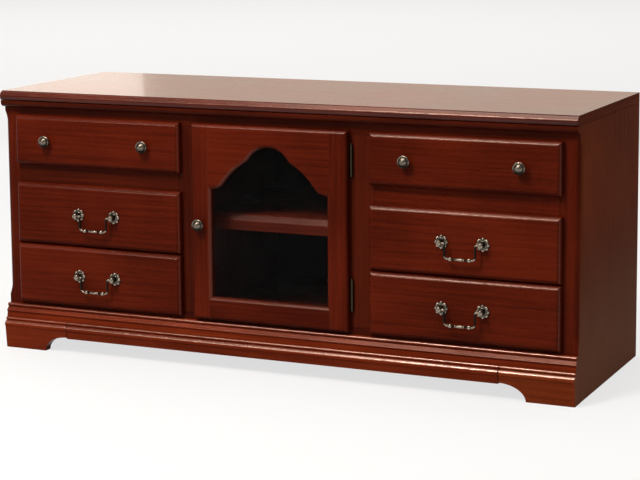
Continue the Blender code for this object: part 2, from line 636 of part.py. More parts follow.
def make_drawer(root, word, side, level):
    """One drawer with its box and its knobs or its bail pull, all carried by a guide on its slide."""
    limits, box_floor, box_head = {
        "top": ((TOP_DRAWER_BOTTOM, DRAWERS_TOP), UPPER_DIVIDER_TOP, TOP_RAIL_BOTTOM),
        "middle": ((MIDDLE_DRAWER_BOTTOM, MIDDLE_DRAWER_TOP), LOWER_DIVIDER_TOP, UPPER_DIVIDER_BOTTOM),
        "bottom": ((DRAWERS_BOTTOM, BOTTOM_DRAWER_TOP), FLOOR_TOP, LOWER_DIVIDER_BOTTOM),
    }[level]
    name = f"{word}_{level}_drawer"
    middle_z = sum(limits) / 2
    slide = empty(name + "_slide", (side * COLUMN_MIDDLE, DRAWER_FACE, middle_z), root)
    origin = tuple(slide["place"])

    width = span(side, COLUMN_INNER, COLUMN_OUTER)
    front = rounded_front(width, limits, -DRAWER_SEAT, DRAWER_FACE, FRONT_ROUND)
    place_mesh(name + "_front", front, CHERRY, slide, origin)

    box_x = span(side, MULLION_OUTER + DRAWER_PLAY, POST_INNER - DRAWER_PLAY)
    box_y = (-DRAWER_SEAT + FIT, BACK_FACE - BOX_BACK_GAP)
    box = tray(box_x, box_y, (box_floor + FIT, box_head - DRAWER_HEADROOM))
    place_mesh(name + "_box", box, DRAWER_WOOD, slide, origin)

    face = DRAWER_FACE - FIT
    if level == "top":
        for hand, sign in (("left", -1), ("right", 1)):
            place = (side * COLUMN_MIDDLE + sign * KNOB_SPACING / 2, face, middle_z)
            make_knob(f"{name}_{hand}_knob", slide, place)
        return
    pull_z = middle_z + PULL_RISE
    for hand, sign in (("left", -1), ("right", 1)):
        place = (side * COLUMN_MIDDLE + sign * PULL_SPACING / 2, face, pull_z)
        make_rosette_post(f"{name}_{hand}_post", slide, place, -sign)
    make_bail(name + "_bail", slide, (side * COLUMN_MIDDLE, face - POST_AXIS_REACH, pull_z))


def stile_outline(outer, inner, chamfer):
    """Plan of a door stile: round outer edge, chamfered inner edge, rebate for the glass behind."""
    way = 1 if inner > outer else -1
    back = -DOOR_SEAT
    shelf = back - REBATE_DEPTH
    edge = arc((DOOR_ROUND, DOOR_ROUND), DOOR_ROUND, 180, 270, ARC_STEPS // 2)
    outline = [(outer, back)]
    outline += [(outer + way * x, DOOR_FACE + y) for x, y in edge]
    outline += [(inner - way * chamfer, DOOR_FACE), (inner, DOOR_FACE + chamfer)]
    outline += [(inner, shelf), (inner - way * REBATE_WIDTH, shelf), (inner - way * REBATE_WIDTH, back)]
    return outline


def make_stile(name, hinge, outer, inner):
    """A door stile whose inner chamfer runs beside the glass and meets those of the rails in mitres."""
    sill, springing = DRAWERS_BOTTOM + DOOR_BOTTOM_RAIL, DRAWERS_TOP - ARCH_CROWN - arch_rise()
    stations = [(DRAWERS_BOTTOM, INNER_EDGE), (sill - INNER_CHAMFER, INNER_EDGE), (sill, INNER_CHAMFER)]
    stations += [(springing, INNER_CHAMFER), (springing + INNER_CHAMFER, INNER_EDGE), (DRAWERS_TOP, INNER_EDGE)]
    sections = [[(x, y, z) for x, y in stile_outline(outer, inner, chamfer)] for z, chamfer in stations]
    place_mesh(name, loft(sections), CHERRY, hinge, tuple(hinge["place"]))


def arch_arcs():
    """Arcs of the arch from its crown to the right: radius, slope at the start and slope at the end.

    A radius below zero turns the other way. The flare takes up the width that is left and ends level.
    """
    half = DOOR_WIDTH / 2 - STILE_WIDTH - FIT
    arcs, slope, width = [], 0, 0.0
    for part, end in ARCH_BENDS:
        arcs.append((part * half, slope, end))
        width += part * half * (math.sin(math.radians(end)) - math.sin(math.radians(slope)))
        slope = end
    return arcs + [((width - half) / math.sin(math.radians(slope)), slope, 0)]


def arch_rise():
    """Height of the arch, from its springing to its crown."""
    return sum(radius * (math.cos(math.radians(a)) - math.cos(math.radians(b))) for radius, a, b in arch_arcs())


def arch_outline(grow):
    """Underside of the arched rail from left to right: flares, shoulders, necks and a round crown.

    It is moved outwards by a given distance, for the chamfer at the face.
    """
    x, z = DOOR_OFFSET, DRAWERS_TOP - ARCH_CROWN
    right = [(x, z + grow)]
    for radius, start, end in arch_arcs():
        a, b = math.radians(start), math.radians(end)
        middle = (x - radius * math.sin(a), z - radius * math.cos(a))
        turn = 90 if radius > 0 else 270
        right += arc(middle, abs(radius + grow), turn - start, turn - end)[1:]
        x, z = middle[0] + radius * math.sin(b), middle[1] + radius * math.cos(b)
    left = [(2 * DOOR_OFFSET - x, z) for x, z in reversed(right)]
    return left[:-1] + right


def make_door(root):
    """Stiles, rails, glass and knob, carried by a guide on the hinge axis."""
    foot = DRAWERS_BOTTOM
    hinge = empty("door_hinge", (HINGE_X, HINGE_Y, (foot + DRAWERS_TOP) / 2), root)
    origin = tuple(hinge["place"])
    inner_left, inner_right = DOOR_LEFT + STILE_WIDTH, DOOR_RIGHT - STILE_WIDTH

    make_stile("door_left_stile", hinge, DOOR_LEFT, inner_left)
    make_stile("door_right_stile", hinge, DOOR_RIGHT, inner_right)

    back, shelf = -DOOR_SEAT, -DOOR_SEAT - REBATE_DEPTH
    rail_x = (inner_left + FIT, inner_right - FIT)
    rail_top = foot + DOOR_BOTTOM_RAIL
    edge = arc((DOOR_FACE + DOOR_ROUND, foot + DOOR_ROUND), DOOR_ROUND, 270, 180, ARC_STEPS // 2)
    outline = [(back, foot)] + edge
    outline += [(DOOR_FACE, rail_top - INNER_CHAMFER), (DOOR_FACE + INNER_CHAMFER, rail_top)]
    outline += [(shelf, rail_top), (shelf, rail_top - REBATE_WIDTH), (back, rail_top - REBATE_WIDTH)]
    place_mesh("door_bottom_rail", across(outline, *rail_x), CHERRY, hinge, origin)

    ends = [(rail_x[1], DRAWERS_TOP), (rail_x[0], DRAWERS_TOP)]
    stations = [(DOOR_FACE, INNER_CHAMFER), (DOOR_FACE + INNER_CHAMFER, 0.0), (shelf, 0.0)]
    sections = [[(x, y, z) for x, z in arch_outline(grow) + ends] for y, grow in stations]
    rail = place_mesh("door_arched_rail", loft(sections), CHERRY, hinge, origin)
    thick = block(rail_x, (shelf - REBATE_DEPTH / 2, back), (GLASS_TOP + FIT, DRAWERS_TOP - FIT))
    shape_with(rail, thick, "UNION")

    glass_x = (inner_left - REBATE_WIDTH + FIT, inner_right + REBATE_WIDTH - FIT)
    glass_z = (rail_top - REBATE_WIDTH + FIT, GLASS_TOP)
    glass = block(glass_x, (shelf + FIT, shelf + FIT + GLASS_THICKNESS), glass_z)
    place_mesh("door_glass", glass, GLASS, hinge, origin)

    knob_z = (foot + DRAWERS_TOP) / 2 - DOOR_KNOB_DROP
    make_knob("door_knob", hinge, (DOOR_LEFT + DOOR_KNOB_INSET, DOOR_FACE - FIT, knob_z))
    make_hinge("upper", root, hinge, DRAWERS_TOP - HINGE_TOP_DROP - HINGE_LENGTH)
    make_hinge("lower", root, hinge, foot + HINGE_FOOT_RISE)


def knuckle(foot, head):
    """One round knuckle of a hinge barrel."""
    ring = arc((HINGE_X, HINGE_Y), BARREL_RADIUS, 0, 360, 2 * ARC_STEPS)[:-1]
    return upright(ring, foot, head)


def make_hinge(word, root, door_hinge, foot):
    """A wrapped frame leaf that holds the pin, and a flat door leaf, meeting in knuckles on one barrel."""
    head = foot + HINGE_LENGTH
    pitch = HINGE_LENGTH / KNUCKLES
    near_barrel = HINGE_X - BARREL_RADIUS - FIT
    frame_outer = -FIT - LEAF_THICKNESS
    flange = OPENING_RIGHT - FIT
    outline = [(flange - LEAF_THICKNESS, frame_outer), (near_barrel, frame_outer), (near_barrel, -FIT)]
    outline += [(flange, -FIT), (flange, FRAME_FLANGE_DEPTH), (flange - LEAF_THICKNESS, FRAME_FLANGE_DEPTH)]
    frame_leaf = place_mesh(word + "_hinge_frame_leaf", upright(outline, foot, head), HINGE_BRASS, root)

    door_inner = frame_outer - FIT
    door_outer = door_inner - LEAF_THICKNESS
    plate = block((near_barrel - DOOR_LEAF_WIDTH, near_barrel), (door_outer, door_inner), (foot, head))
    axis = tuple(door_hinge["place"])
    door_leaf = place_mesh(word + "_hinge_door_leaf", plate, HINGE_BRASS, door_hinge, axis)

    overlap = LEAF_THICKNESS / 4
    for i in range(KNUCKLES):
        ends = (foot + pitch * i + FIT / 2, foot + pitch * (i + 1) - FIT / 2)
        leaf = door_leaf if i % 2 else frame_leaf
        outer, inner = (door_outer, door_inner) if i % 2 else (frame_outer, -FIT)
        tab_y = (outer + overlap, inner - overlap)
        shape_with(leaf, block((near_barrel - LEAF_THICKNESS, HINGE_X), tab_y, ends), "UNION")
        shape_with(leaf, knuckle(*ends), "UNION")
    bore = arc((HINGE_X, HINGE_Y), PIN_RADIUS + FIT, 0, 360, 2 * ARC_STEPS)[:-1]
    shape_with(door_leaf, upright(bore, foot - pitch, head + pitch), "DIFFERENCE")
    pin = arc((HINGE_X, HINGE_Y), PIN_RADIUS, 0, 360, 2 * ARC_STEPS)[:-1]
    shape_with(frame_leaf, upright(pin, foot + pitch / 2, head - pitch / 2), "UNION")


def main():
    clear_scene()
    root = empty("cabinet", (0.0, FACE_Y, 0.0))
    make_top(root)
    make_case_middle(root)
    make_base(root)
    make_door(root)
    for word, side in (("left", -1), ("right", 1)):
        make_case_side(root, word, side)
        for level in ("top", "middle", "bottom"):
            make_drawer(root, word, side, level)


main()
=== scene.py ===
"""Dresses a cherry media cabinet: six drawers beside a glazed door, on a moulded base with bracket feet.

The frame gives each piece its size and place, in metres, with +Z up and the front towards -Y. Every operator
models one kind of piece over its node, and the piece then moves with that node's body.
"""
import json
import math
from contextlib import contextmanager

import bmesh
import bpy
from bpy.props import FloatProperty, FloatVectorProperty, IntProperty, PointerProperty
from bpy.types import Operator, Panel, PropertyGroup
from mathutils import Matrix, Vector


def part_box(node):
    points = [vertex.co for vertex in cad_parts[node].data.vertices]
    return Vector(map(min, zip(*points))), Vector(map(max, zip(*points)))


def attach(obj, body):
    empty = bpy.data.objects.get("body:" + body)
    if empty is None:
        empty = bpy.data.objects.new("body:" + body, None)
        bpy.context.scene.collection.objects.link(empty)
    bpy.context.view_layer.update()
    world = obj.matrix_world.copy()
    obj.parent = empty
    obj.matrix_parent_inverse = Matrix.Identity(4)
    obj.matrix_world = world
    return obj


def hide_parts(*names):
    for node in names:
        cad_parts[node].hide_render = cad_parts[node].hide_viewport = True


bl_info = {
    "name": "Cherry Media Cabinet",
    "version": (1, 0, 0),
    "blender": (4, 5, 0),
    "location": "View3D > Sidebar > Cabinet",
    "description": "Models and finishes a media cabinet with six drawers and a glazed door",
    "category": "Object",
}

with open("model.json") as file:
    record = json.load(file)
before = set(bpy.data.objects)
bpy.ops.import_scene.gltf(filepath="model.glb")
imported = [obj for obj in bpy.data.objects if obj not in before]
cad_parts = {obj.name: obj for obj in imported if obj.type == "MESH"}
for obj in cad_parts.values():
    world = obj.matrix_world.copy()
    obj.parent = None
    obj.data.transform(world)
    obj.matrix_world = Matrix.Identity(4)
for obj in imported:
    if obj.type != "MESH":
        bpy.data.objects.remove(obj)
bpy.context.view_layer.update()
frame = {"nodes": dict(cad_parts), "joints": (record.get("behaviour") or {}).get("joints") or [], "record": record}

BODY_OF = {node: body for body, nodes in frame["record"]["behaviour"]["bodies"].items() for node in nodes}
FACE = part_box("top_rail")[0].y  # face of the front frame
HANDS = ("left", "right")
LEVELS = ("top", "middle", "bottom")
BAIL_LEVELS = LEVELS[1:]  # drawers with a bail; the top ones have knobs
NEAR = 1e-5  # two places closer than this are one
ROUND_STEPS = 8  # segments of a quarter round
BEAD_STEPS = 14  # segments of a half-round bead
TURN_STEPS = 64  # segments of a turned piece
SHADE_ANGLE = math.radians(35)  # sharper edges stay crisp
ARRIS_ANGLE = math.radians(40)  # sharper edges are eased
FLAT = 0.9  # a face looks along an axis if its normal has more than this of it
UP_TILT = (0.30, 0.97)  # upward part of the normals on a round that looks up
RIGHT_TILT = (0.25, 0.90)  # sideways part of the normals on a round that looks to the right
FRONT_TILT = -0.2  # such a round also looks forward by this much or more
LINE_TILT = (0.62, 0.78)  # sideways part where a drawer's round shows a line of light
BLACK = (0.0, 0.0, 0.0)
BOARD_STEP = 0.618  # spreads the boards' numbers evenly from 0 to 1
TRUNK_STEPS = {"X": 3.7, "Y": 2.3, "Z": 5.1}  # how far a board's number moves it in the trunk
PORE_SHADE = 0.55  # colour of a pore, as a part of the dark grain's
PAINTED_SHEEN_LEVELS = (0.45, 0.05)  # heights where the painted reflection of the floor on the sides begins and where it is full
# Weights of the grain's parts in the tone of a wood, and what is taken off their sum.
TONE = {"rings": 0.14, "streaks": 0.62, "fibres": 0.26, "clouds": 0.80, "board": 0.14, "less": 0.555}
LACQUER_IOR = {"soft": 1.8, "edge": 1.8, "nose": 1.8, "shine": 2.2}  # where the lacquer lies thick
# Turns that bring the grain to the X axis.
GRAIN_TURNS = {"X": (0, 0, 0), "Y": (0, 0, -math.pi / 2), "Z": (0, math.pi / 2, 0)}


def length(name, description, default):
    """A size that a user can change."""
    return FloatProperty(name=name, description=description, default=default, unit="LENGTH", precision=4)


def tint(name, description, default):
    """A colour that a user can change."""
    return FloatVectorProperty(
        name=name, description=description, default=default, subtype="COLOR", min=0, max=1
    )


def share(name, description, default):
    """A part of one, such as a gloss."""
    return FloatProperty(name=name, description=description, default=default, subtype="FACTOR", min=0, max=1)


def power(name, description, default):
    """The power of a lamp."""
    return FloatProperty(name=name, description=description, default=default, unit="POWER")


def swing(name, description, degrees):
    """An angle, given in degrees."""
    return FloatProperty(name=name, description=description, default=math.radians(degrees), unit="ROTATION")


class CabinetSizes(PropertyGroup):
    """Sizes of the mouldings, rounds and fittings"""

    eased_edge: length("Eased edge", "Round on every arris that has no moulding", 0.0008)
    fullness: share("Fullness", "Of the long rounds: a half is a true round, a quarter a chamfer", 0.36)
    nose_top_round: length("Nose top round", "Upper round of the top's nose", 0.0115)
    nose_step: length("Nose step", "Step between the top and its nose", 0.0018)
    nose_under_round: length("Nose under round", "Lower round of the top's nose", 0.010)
    crown_fillet: length("Crown fillet", "Flat above the crown's quarter round", 0.004)
    post_round: length("Post round", "Round-over on the corner posts", 0.016)
    post_stop: length("Post stop", "Length over which a post's round-over fades out", 0.030)
    post_foot: length("Post foot", "Base to the foot of the round-over", 0.023)
    post_head: length("Post head", "Crown to the head of the round-over", 0.012)
    cap_bead: length("Cap bead", "Radius of the bead on top of the base", 0.0045)
    cap_bead_seat: length("Cap bead seat", "Middle of that bead from the front frame", 0.010)
    cap_slope: length("Cap slope", "Height of the slope under that bead", 0.0105)
    cap_lip: length("Cap lip", "Short flat under that slope", 0.0010)
    cap_reach: length("Cap reach", "Lip from the front frame", 0.0200)
    cap_undercut: length("Cap undercut", "Depth and height of the hollow under the lip", 0.0030)
    cap_foot: length("Cap foot", "Reach of the cap where it meets the board below", 0.0195)
    board_bead: length("Board bead", "Radius of the bead on the base board", 0.0043)
    board_bead_seat: length("Board bead seat", "Middle of that bead from the front frame", 0.0205)
    board_round: length("Board round", "Round under that bead", 0.0105)
    board_nose: length("Board nose", "That round from the front frame", 0.0320)
    board_lip: length("Board lip", "Short flat under that round", 0.0035)
    board_reach: length("Board reach", "Face of the base board from the front frame", 0.030)
    board_taper: length("Board taper", "The board's face leans back by this much at the floor", 0.006)
    joint_line: length("Joint line", "Width of the stain in the joints at the feet", 0.0015)
    foot_flat: length("Foot flat", "Length of a foot that stands on the floor", 0.125)
    foot_curve: length("Foot curve", "Height of the bracket's curve", 0.043)
    front_round: length("Drawer round", "Round-over of the drawer fronts", 0.0095)
    front_step: length("Drawer step", "Step between that round-over and the face", 0.0008)
    box_wall: length("Box wall", "Thickness of a drawer box's sides", 0.012)
    box_floor: length("Box floor", "Thickness of a drawer box's bottom", 0.006)
    door_round: length("Door round", "Round-over of the door's edges, also round the glass", 0.0075)
    rebate_width: length("Rebate width", "Width of the door's rebate for the glass", 0.007)
    rebate_depth: length("Rebate depth", "Depth of the door's rebate for the glass", 0.009)
    arch_crown: length("Arch crown", "Height of the arched rail at its middle", 0.053)
    shelf_run: length("Shelf run", "Depth of the slope on the shelf's front edge", 0.010)
    shelf_drop: length("Shelf drop", "Height of that slope", 0.019)
    shelf_round: length("Shelf round", "Round at both ends of that slope", 0.005)
    shelf_lip: length("Shelf lip", "Thickness of the shelf's front edge", 0.022)
    shelf_board: length("Shelf board", "Thickness of the shelf behind its edge", 0.019)
    rail_inset: length("Rail inset", "Rails kept this far inside the ends of the stiles", 0.0002)
    knob_plate: length("Knob plate", "Radius of the plate at the foot of a knob", 0.0100)
    knob_plate_edge: length("Knob plate edge", "Thickness of that plate", 0.0016)
    knob_stem: length("Knob stem", "Radius of a knob's stem", 0.0055)
    knob_cove: length("Knob cove", "Hollow at both ends of that stem", 0.0025)
    knob_neck: length("Knob neck", "Drawer front to the back of a knob's head", 0.0110)
    knob_rim: length("Knob rim", "Round of a knob's rim, and the slope behind it", 0.0022)
    knob_button: length("Knob button", "Radius of the raised middle of a knob", 0.0115)
    knob_groove: length("Knob groove", "Drawer front to the groove round that button", 0.0184)
    knob_ease: length("Knob ease", "Round on the arrises of a knob", 0.0003)
    petals: IntProperty(name="Petals", description="Petals of a rosette", default=8, min=4, max=16)
    petal_depth: length("Petal depth", "Swell of the petals at the rim of a rosette", 0.0012)
    petal_groove: length("Petal groove", "Depth of the grooves between petals", 0.0013)
    rosette_edge: length("Rosette edge", "Thickness of a rosette at its rim", 0.0018)
    rosette_rise: length("Rosette rise", "Height of a rosette's crown", 0.0055)
    rosette_crown: length("Rosette crown", "Radius of a rosette's crown", 0.0122)
    post_boss: length("Post", "Radius of the post that carries a bail", 0.007)
    post_axis: length("Post axis", "Drawer front to the axis of a bail", 0.018)
    post_hole: length("Post hole", "Radius of the hole for a bail's tail", 0.0028)
    post_hole_depth: length("Post hole depth", "Depth of that hole", 0.0055)
    bail_tail: length("Bail tail", "Radius of a bail's tail", 0.0023)
    bail_leg: length("Bail leg", "Radius of a bail's leg", 0.0028)
    bail_leg_x: length("Bail leg place", "A leg from the middle of the bail", 0.0405)
    bail_corner: length("Bail corner", "Bend between tail and leg", 0.0035)
    bail_foot_corner: length("Bail foot corner", "Bend between leg and grip", 0.010)
    bead: length("Bead", "Radius of a bail's bead", 0.0052)
    bead_x: length("Bead place", "A bead from the middle of the bail", 0.0250)
    bead_half: length("Bead half", "Half the length of a bead", 0.0045)
    ring_half: length("Ring half", "Half the length of the ring beside the grip", 0.0015)
    grip: length("Grip", "Radius of the grip", 0.0038)
    grip_half: length("Grip half", "Half the length of the grip", 0.0095)
    barrel: length("Barrel", "Radius of a hinge's barrel", 0.0045)
    leaf: length("Leaf", "Thickness of a hinge's leaf", 0.001)
    leaf_play: length("Leaf play", "Play between a hinge's leaves", 0.0003)
    screw: length("Screw", "Radius of a hinge's screw heads", 0.0032)


class CabinetColours(PropertyGroup):
    """Colours and gloss of the finishes"""

    cherry_dark: tint("Cherry dark", "Dark grain of the stained cherry", (0.050, 0.0044, 0.0013))
    cherry_light: tint("Cherry light", "Light grain of the stained cherry", (0.145, 0.0158, 0.0044))
    side_dark: tint("Side dark", "Dark grain of the plain sides", (0.108, 0.0168, 0.0026))
    side_light: tint("Side light", "Light grain of the plain sides", (0.212, 0.0400, 0.0075))
    # Painted reflection: a pale grey-brown laid low on the sides, in place of the floor's sheen.
    side_haze: tint("Side haze", "Bloom on the sides near the floor", (0.300, 0.170, 0.108))
    # The frame's colours are a darker cherry: painted shade for the rails, mullions and crown that lie in the
    # shade of the drawers, door and nose. The base's joints also take them as their stain.
    frame_dark: tint("Frame dark", "Dark grain of the front frame", (0.036, 0.0036, 0.0012))
    frame_light: tint("Frame light", "Light grain of the front frame", (0.104, 0.0125, 0.0038))
    base_dark: tint("Base dark", "Dark grain of the base", (0.112, 0.0120, 0.0030))
    base_light: tint("Base light", "Light grain of the base", (0.252, 0.0350, 0.0090))
    # Painted sheen: the right foot is made paler than the left, in place of the light it catches on that side.
    foot_dark: tint("Foot dark", "Dark grain of the right foot, a paler board", (0.125, 0.0175, 0.0040))
    foot_light: tint("Foot light", "Light grain of the right foot", (0.275, 0.0480, 0.0120))
    box_dark: tint("Box dark", "Dark grain of the drawer boxes", (0.360, 0.225, 0.115))
    box_light: tint("Box light", "Light grain of the drawer boxes", (0.560, 0.400, 0.240))
    # Painted shade: the inner face of the back board is made nearly black for the dark inside of the cabinet.
    inside: tint("Inside", "Dark stain on the inner face of the back board", (0.0120, 0.0065, 0.0045))
    back_dark: tint("Back dark", "Dark fibres of the back board", (0.105, 0.052, 0.026))
    back_light: tint("Back light", "Light fibres of the back board", (0.205, 0.115, 0.062))
    pewter_dark: tint("Pewter dark", "Patina in the recesses of the fittings", (0.018, 0.015, 0.012))
    pewter_light: tint("Pewter light", "Rubbed metal of the fittings", (0.420, 0.355, 0.278))
    brass_dark: tint("Brass dark", "Patina of the hinges", (0.030, 0.021, 0.011))
    brass_light: tint("Brass light", "Rubbed metal of the hinges", (0.045, 0.035, 0.021))
    glass: tint("Glass", "Tint of the door's pane", (0.008, 0.011, 0.010))
    glass_body: share("Glass body", "How much the door's pane hides, seen square on", 0.02)
    floor: tint("Floor", "Colour of the studio floor", (0.32, 0.33, 0.35))
    seen_floor: tint("Seen floor", "The floor as the eye, metal and glass see it", (0.78, 0.79, 0.80))
    dull_gloss: share("Dull gloss", "Mirror of the plain sides", 0.001)
    satin_gloss: share("Satin gloss", "Mirror of the flat boards", 0.05)
    soft_gloss: share("Soft gloss", "Mirror of the upright rounds", 0.18)
    edge_gloss: share("Edge gloss", "Mirror of the rounded edges, where the lacquer is thick", 0.32)
    nose_gloss: share("Nose gloss", "Mirror of the top's rounded nose", 0.45)
    shine_gloss: share("Shine", "Mirror of the base's beads, where it is thickest", 0.9)
    polish: share("Polish", "Weight of the clear lacquer on the top", 0.24)
    lacquer_tint: tint("Lacquer tint", "Colour of the lacquer's mirror", (1.0, 0.72, 0.60))
    pore_weight: share("Pore weight", "How strongly the pores show in the wood", 0.55)
    # How strongly that painted reflection of the floor shows on the sides.
    painted_sheen_weight: share("Haze weight", "How strongly the bloom shows on the sides", 0.35)


class CabinetStage(PropertyGroup):
    """Camera and lamps of the studio"""

    camera_place: FloatVectorProperty(
        name="Camera place", description="Where the camera stands", default=(2.139, -4.680, 1.269),
        subtype="TRANSLATION",
    )
    yaw: swing("Yaw", "Turn of the camera to the left", 24.36)
    pitch: swing("Pitch", "How far the camera looks down", 7.73)
    roll: swing("Roll", "Tilt of the camera", -0.44)
    lens: FloatProperty(
        name="Lens", description="Focal length on a 36 mm sensor", default=109.1, unit="CAMERA"
    )
    shift: FloatProperty(name="Shift", description="Vertical lens shift", default=-0.15)
    sky: tint("Sky", "Light from the studio's ceiling", (0.18, 0.18, 0.18))
    wall: FloatVectorProperty(
        name="Wall", description="Light from the studio's wall behind", default=(1.16, 0.98, 0.80),
        subtype="COLOR",
    )
    lamp_tint: tint("Lamp tint", "Colour of the lamps", (1.0, 0.92, 0.84))
    floor_glow: share("Floor glow", "How far the floor is lifted to white where it is seen", 0.70)
    scrim_power: power("Scrim power", "Lamp above the cabinet", 68)
    key_power: power("Key power", "High lamp in front", 75)
    front_power: power("Front power", "Panel in front, left", 25)
    spark_power: power("Spark power", "Small lamp in front", 60)
    panel_power: power("Panel power", "Lamp behind, left", 11)
    ground_power: power("Ground power", "Lamp on the far floor", 640)
    floor_reach: length("Floor reach", "Half the width of the floor", 40.0)


def deselect():
    """Let nothing be selected."""
    bpy.ops.object.select_all(action="DESELECT")


def select_only(piece):
    """Select one object and make it active."""
    deselect()
    piece.select_set(True)
    bpy.context.view_layer.objects.active = piece


@contextmanager
def editing():
    """Edit the active mesh for a while."""
    bpy.ops.object.mode_set(mode="EDIT")
    yield
    bpy.ops.object.mode_set(mode="OBJECT")


def pick(kind, test):
    """Select the vertices, edges or faces of the edited mesh that pass a test."""
    bpy.ops.mesh.select_mode(type=kind)
    bpy.ops.mesh.select_all(action="DESELECT")
    data = bpy.context.edit_object.data
    mesh = bmesh.from_edit_mesh(data)
    items = {"VERT": mesh.verts, "EDGE": mesh.edges, "FACE": mesh.faces}[kind]
    found = [item for item in items if test(item)]
    if not found:
        raise RuntimeError(f"no {kind.lower()} of {bpy.context.edit_object.name} passes the test")
    for item in found:
        item.select_set(True)
    bmesh.update_edit_mesh(data)


def lies(x=None, y=None, z=None):
    """A test for edges or faces that lie wholly at the given coordinates."""
    wanted = [(i, value) for i, value in enumerate((x, y, z)) if value is not None]
    return lambda item: all(abs(vert.co[i] - value) < NEAR for vert in item.verts for i, value in wanted)


def either(*tests):
    """A test that passes where one of several does."""
    return lambda item: any(test(item) for test in tests)


def front_edges(low, high, y):
    """A test for the four edges round the front of a block, at a given depth."""
    upright = [lies(x=x, y=y) for x in (low.x, high.x)]
    level = [lies(y=y, z=z) for z in (low.z, high.z)]
    return either(*upright, *level)


def round_edges(radius, steps=ROUND_STEPS, fullness=0.5):
    """Round over the selected edges; a fullness below a half flattens the round towards a chamfer."""
    bpy.ops.mesh.bevel(
        offset_type="OFFSET", offset=radius, segments=steps, profile=fullness, affect="EDGES",
        clamp_overlap=False,
    )


def ease(width, steps=2):
    """Take the sharpness off every arris of the edited mesh."""
    bpy.ops.mesh.select_mode(type="EDGE")
    bpy.ops.mesh.select_all(action="DESELECT")
    bpy.ops.mesh.edges_select_sharp(sharpness=ARRIS_ANGLE)
    bpy.ops.mesh.bevel(
        offset_type="OFFSET", offset=width, segments=steps, affect="EDGES", clamp_overlap=True
    )


def score(place, across):
    """Add a line of edges all round the edited mesh, through a place and square to an axis."""
    bpy.ops.mesh.select_all(action="SELECT")
    bpy.ops.mesh.bisect(plane_co=place, plane_no=across)


def face_outwards():
    """Merge doubles in the edited mesh and point its faces outwards."""
    bpy.ops.mesh.select_all(action="SELECT")
    bpy.ops.mesh.remove_doubles(threshold=NEAR / 10)
    bpy.ops.mesh.normals_make_consistent(inside=False)


def settle():
    """Put the active object's place and size into its mesh."""
    bpy.ops.object.transform_apply(location=True, rotation=True, scale=True)
    return bpy.context.object


def add_block(low, high):
    """A block between two corners, to be shaped further."""
    deselect()
    low, high = Vector(low), Vector(high)
    bpy.ops.mesh.primitive_cube_add(size=1, location=(low + high) / 2, scale=high - low)
    return settle()


def eased_block(low, high, width):
    """A plain block between two corners with its arrises eased."""
    block = add_block(low, high)
    with editing():
        ease(width)
    return block


def add_rod(start, end, radius, steps=32):
    """A round rod between two points, to be shaped further."""
    deselect()
    start, end = Vector(start), Vector(end)
    turn = (end - start).to_track_quat("Z", "Y").to_euler()
    bpy.ops.mesh.primitive_cylinder_add(
        vertices=steps, radius=radius, depth=(end - start).length, location=(start + end) / 2, rotation=turn
    )
    return settle()


def discard(piece):
    """Remove a helper and its mesh."""
    mesh = piece.data
    bpy.data.objects.remove(piece, do_unlink=True)
    bpy.data.meshes.remove(mesh)


def cut(piece, helper):
    """Cut a helper out of a piece."""
    select_only(piece)
    saw = piece.modifiers.new("saw", "BOOLEAN")
    saw.operation = "DIFFERENCE"
    saw.object = helper
    bpy.ops.object.modifier_apply(modifier=saw.name)
    discard(helper)


def join(pieces):
    """Make one object of several."""
    select_only(pieces[0])
    for piece in pieces:
        piece.select_set(True)
    bpy.ops.object.join()
    return bpy.context.object


def copy_of(piece, shift=(0, 0, 0), mirrored=False):
    """A copy with its own mesh, mirrored across the cabinet's middle if need be, then moved."""
    select_only(piece)
    bpy.ops.object.duplicate()
    twin = bpy.context.object
    twin.location = shift
    twin.scale.x = -1 if mirrored else 1
    settle()
    if mirrored:
        with editing():
            face_outwards()
    return twin


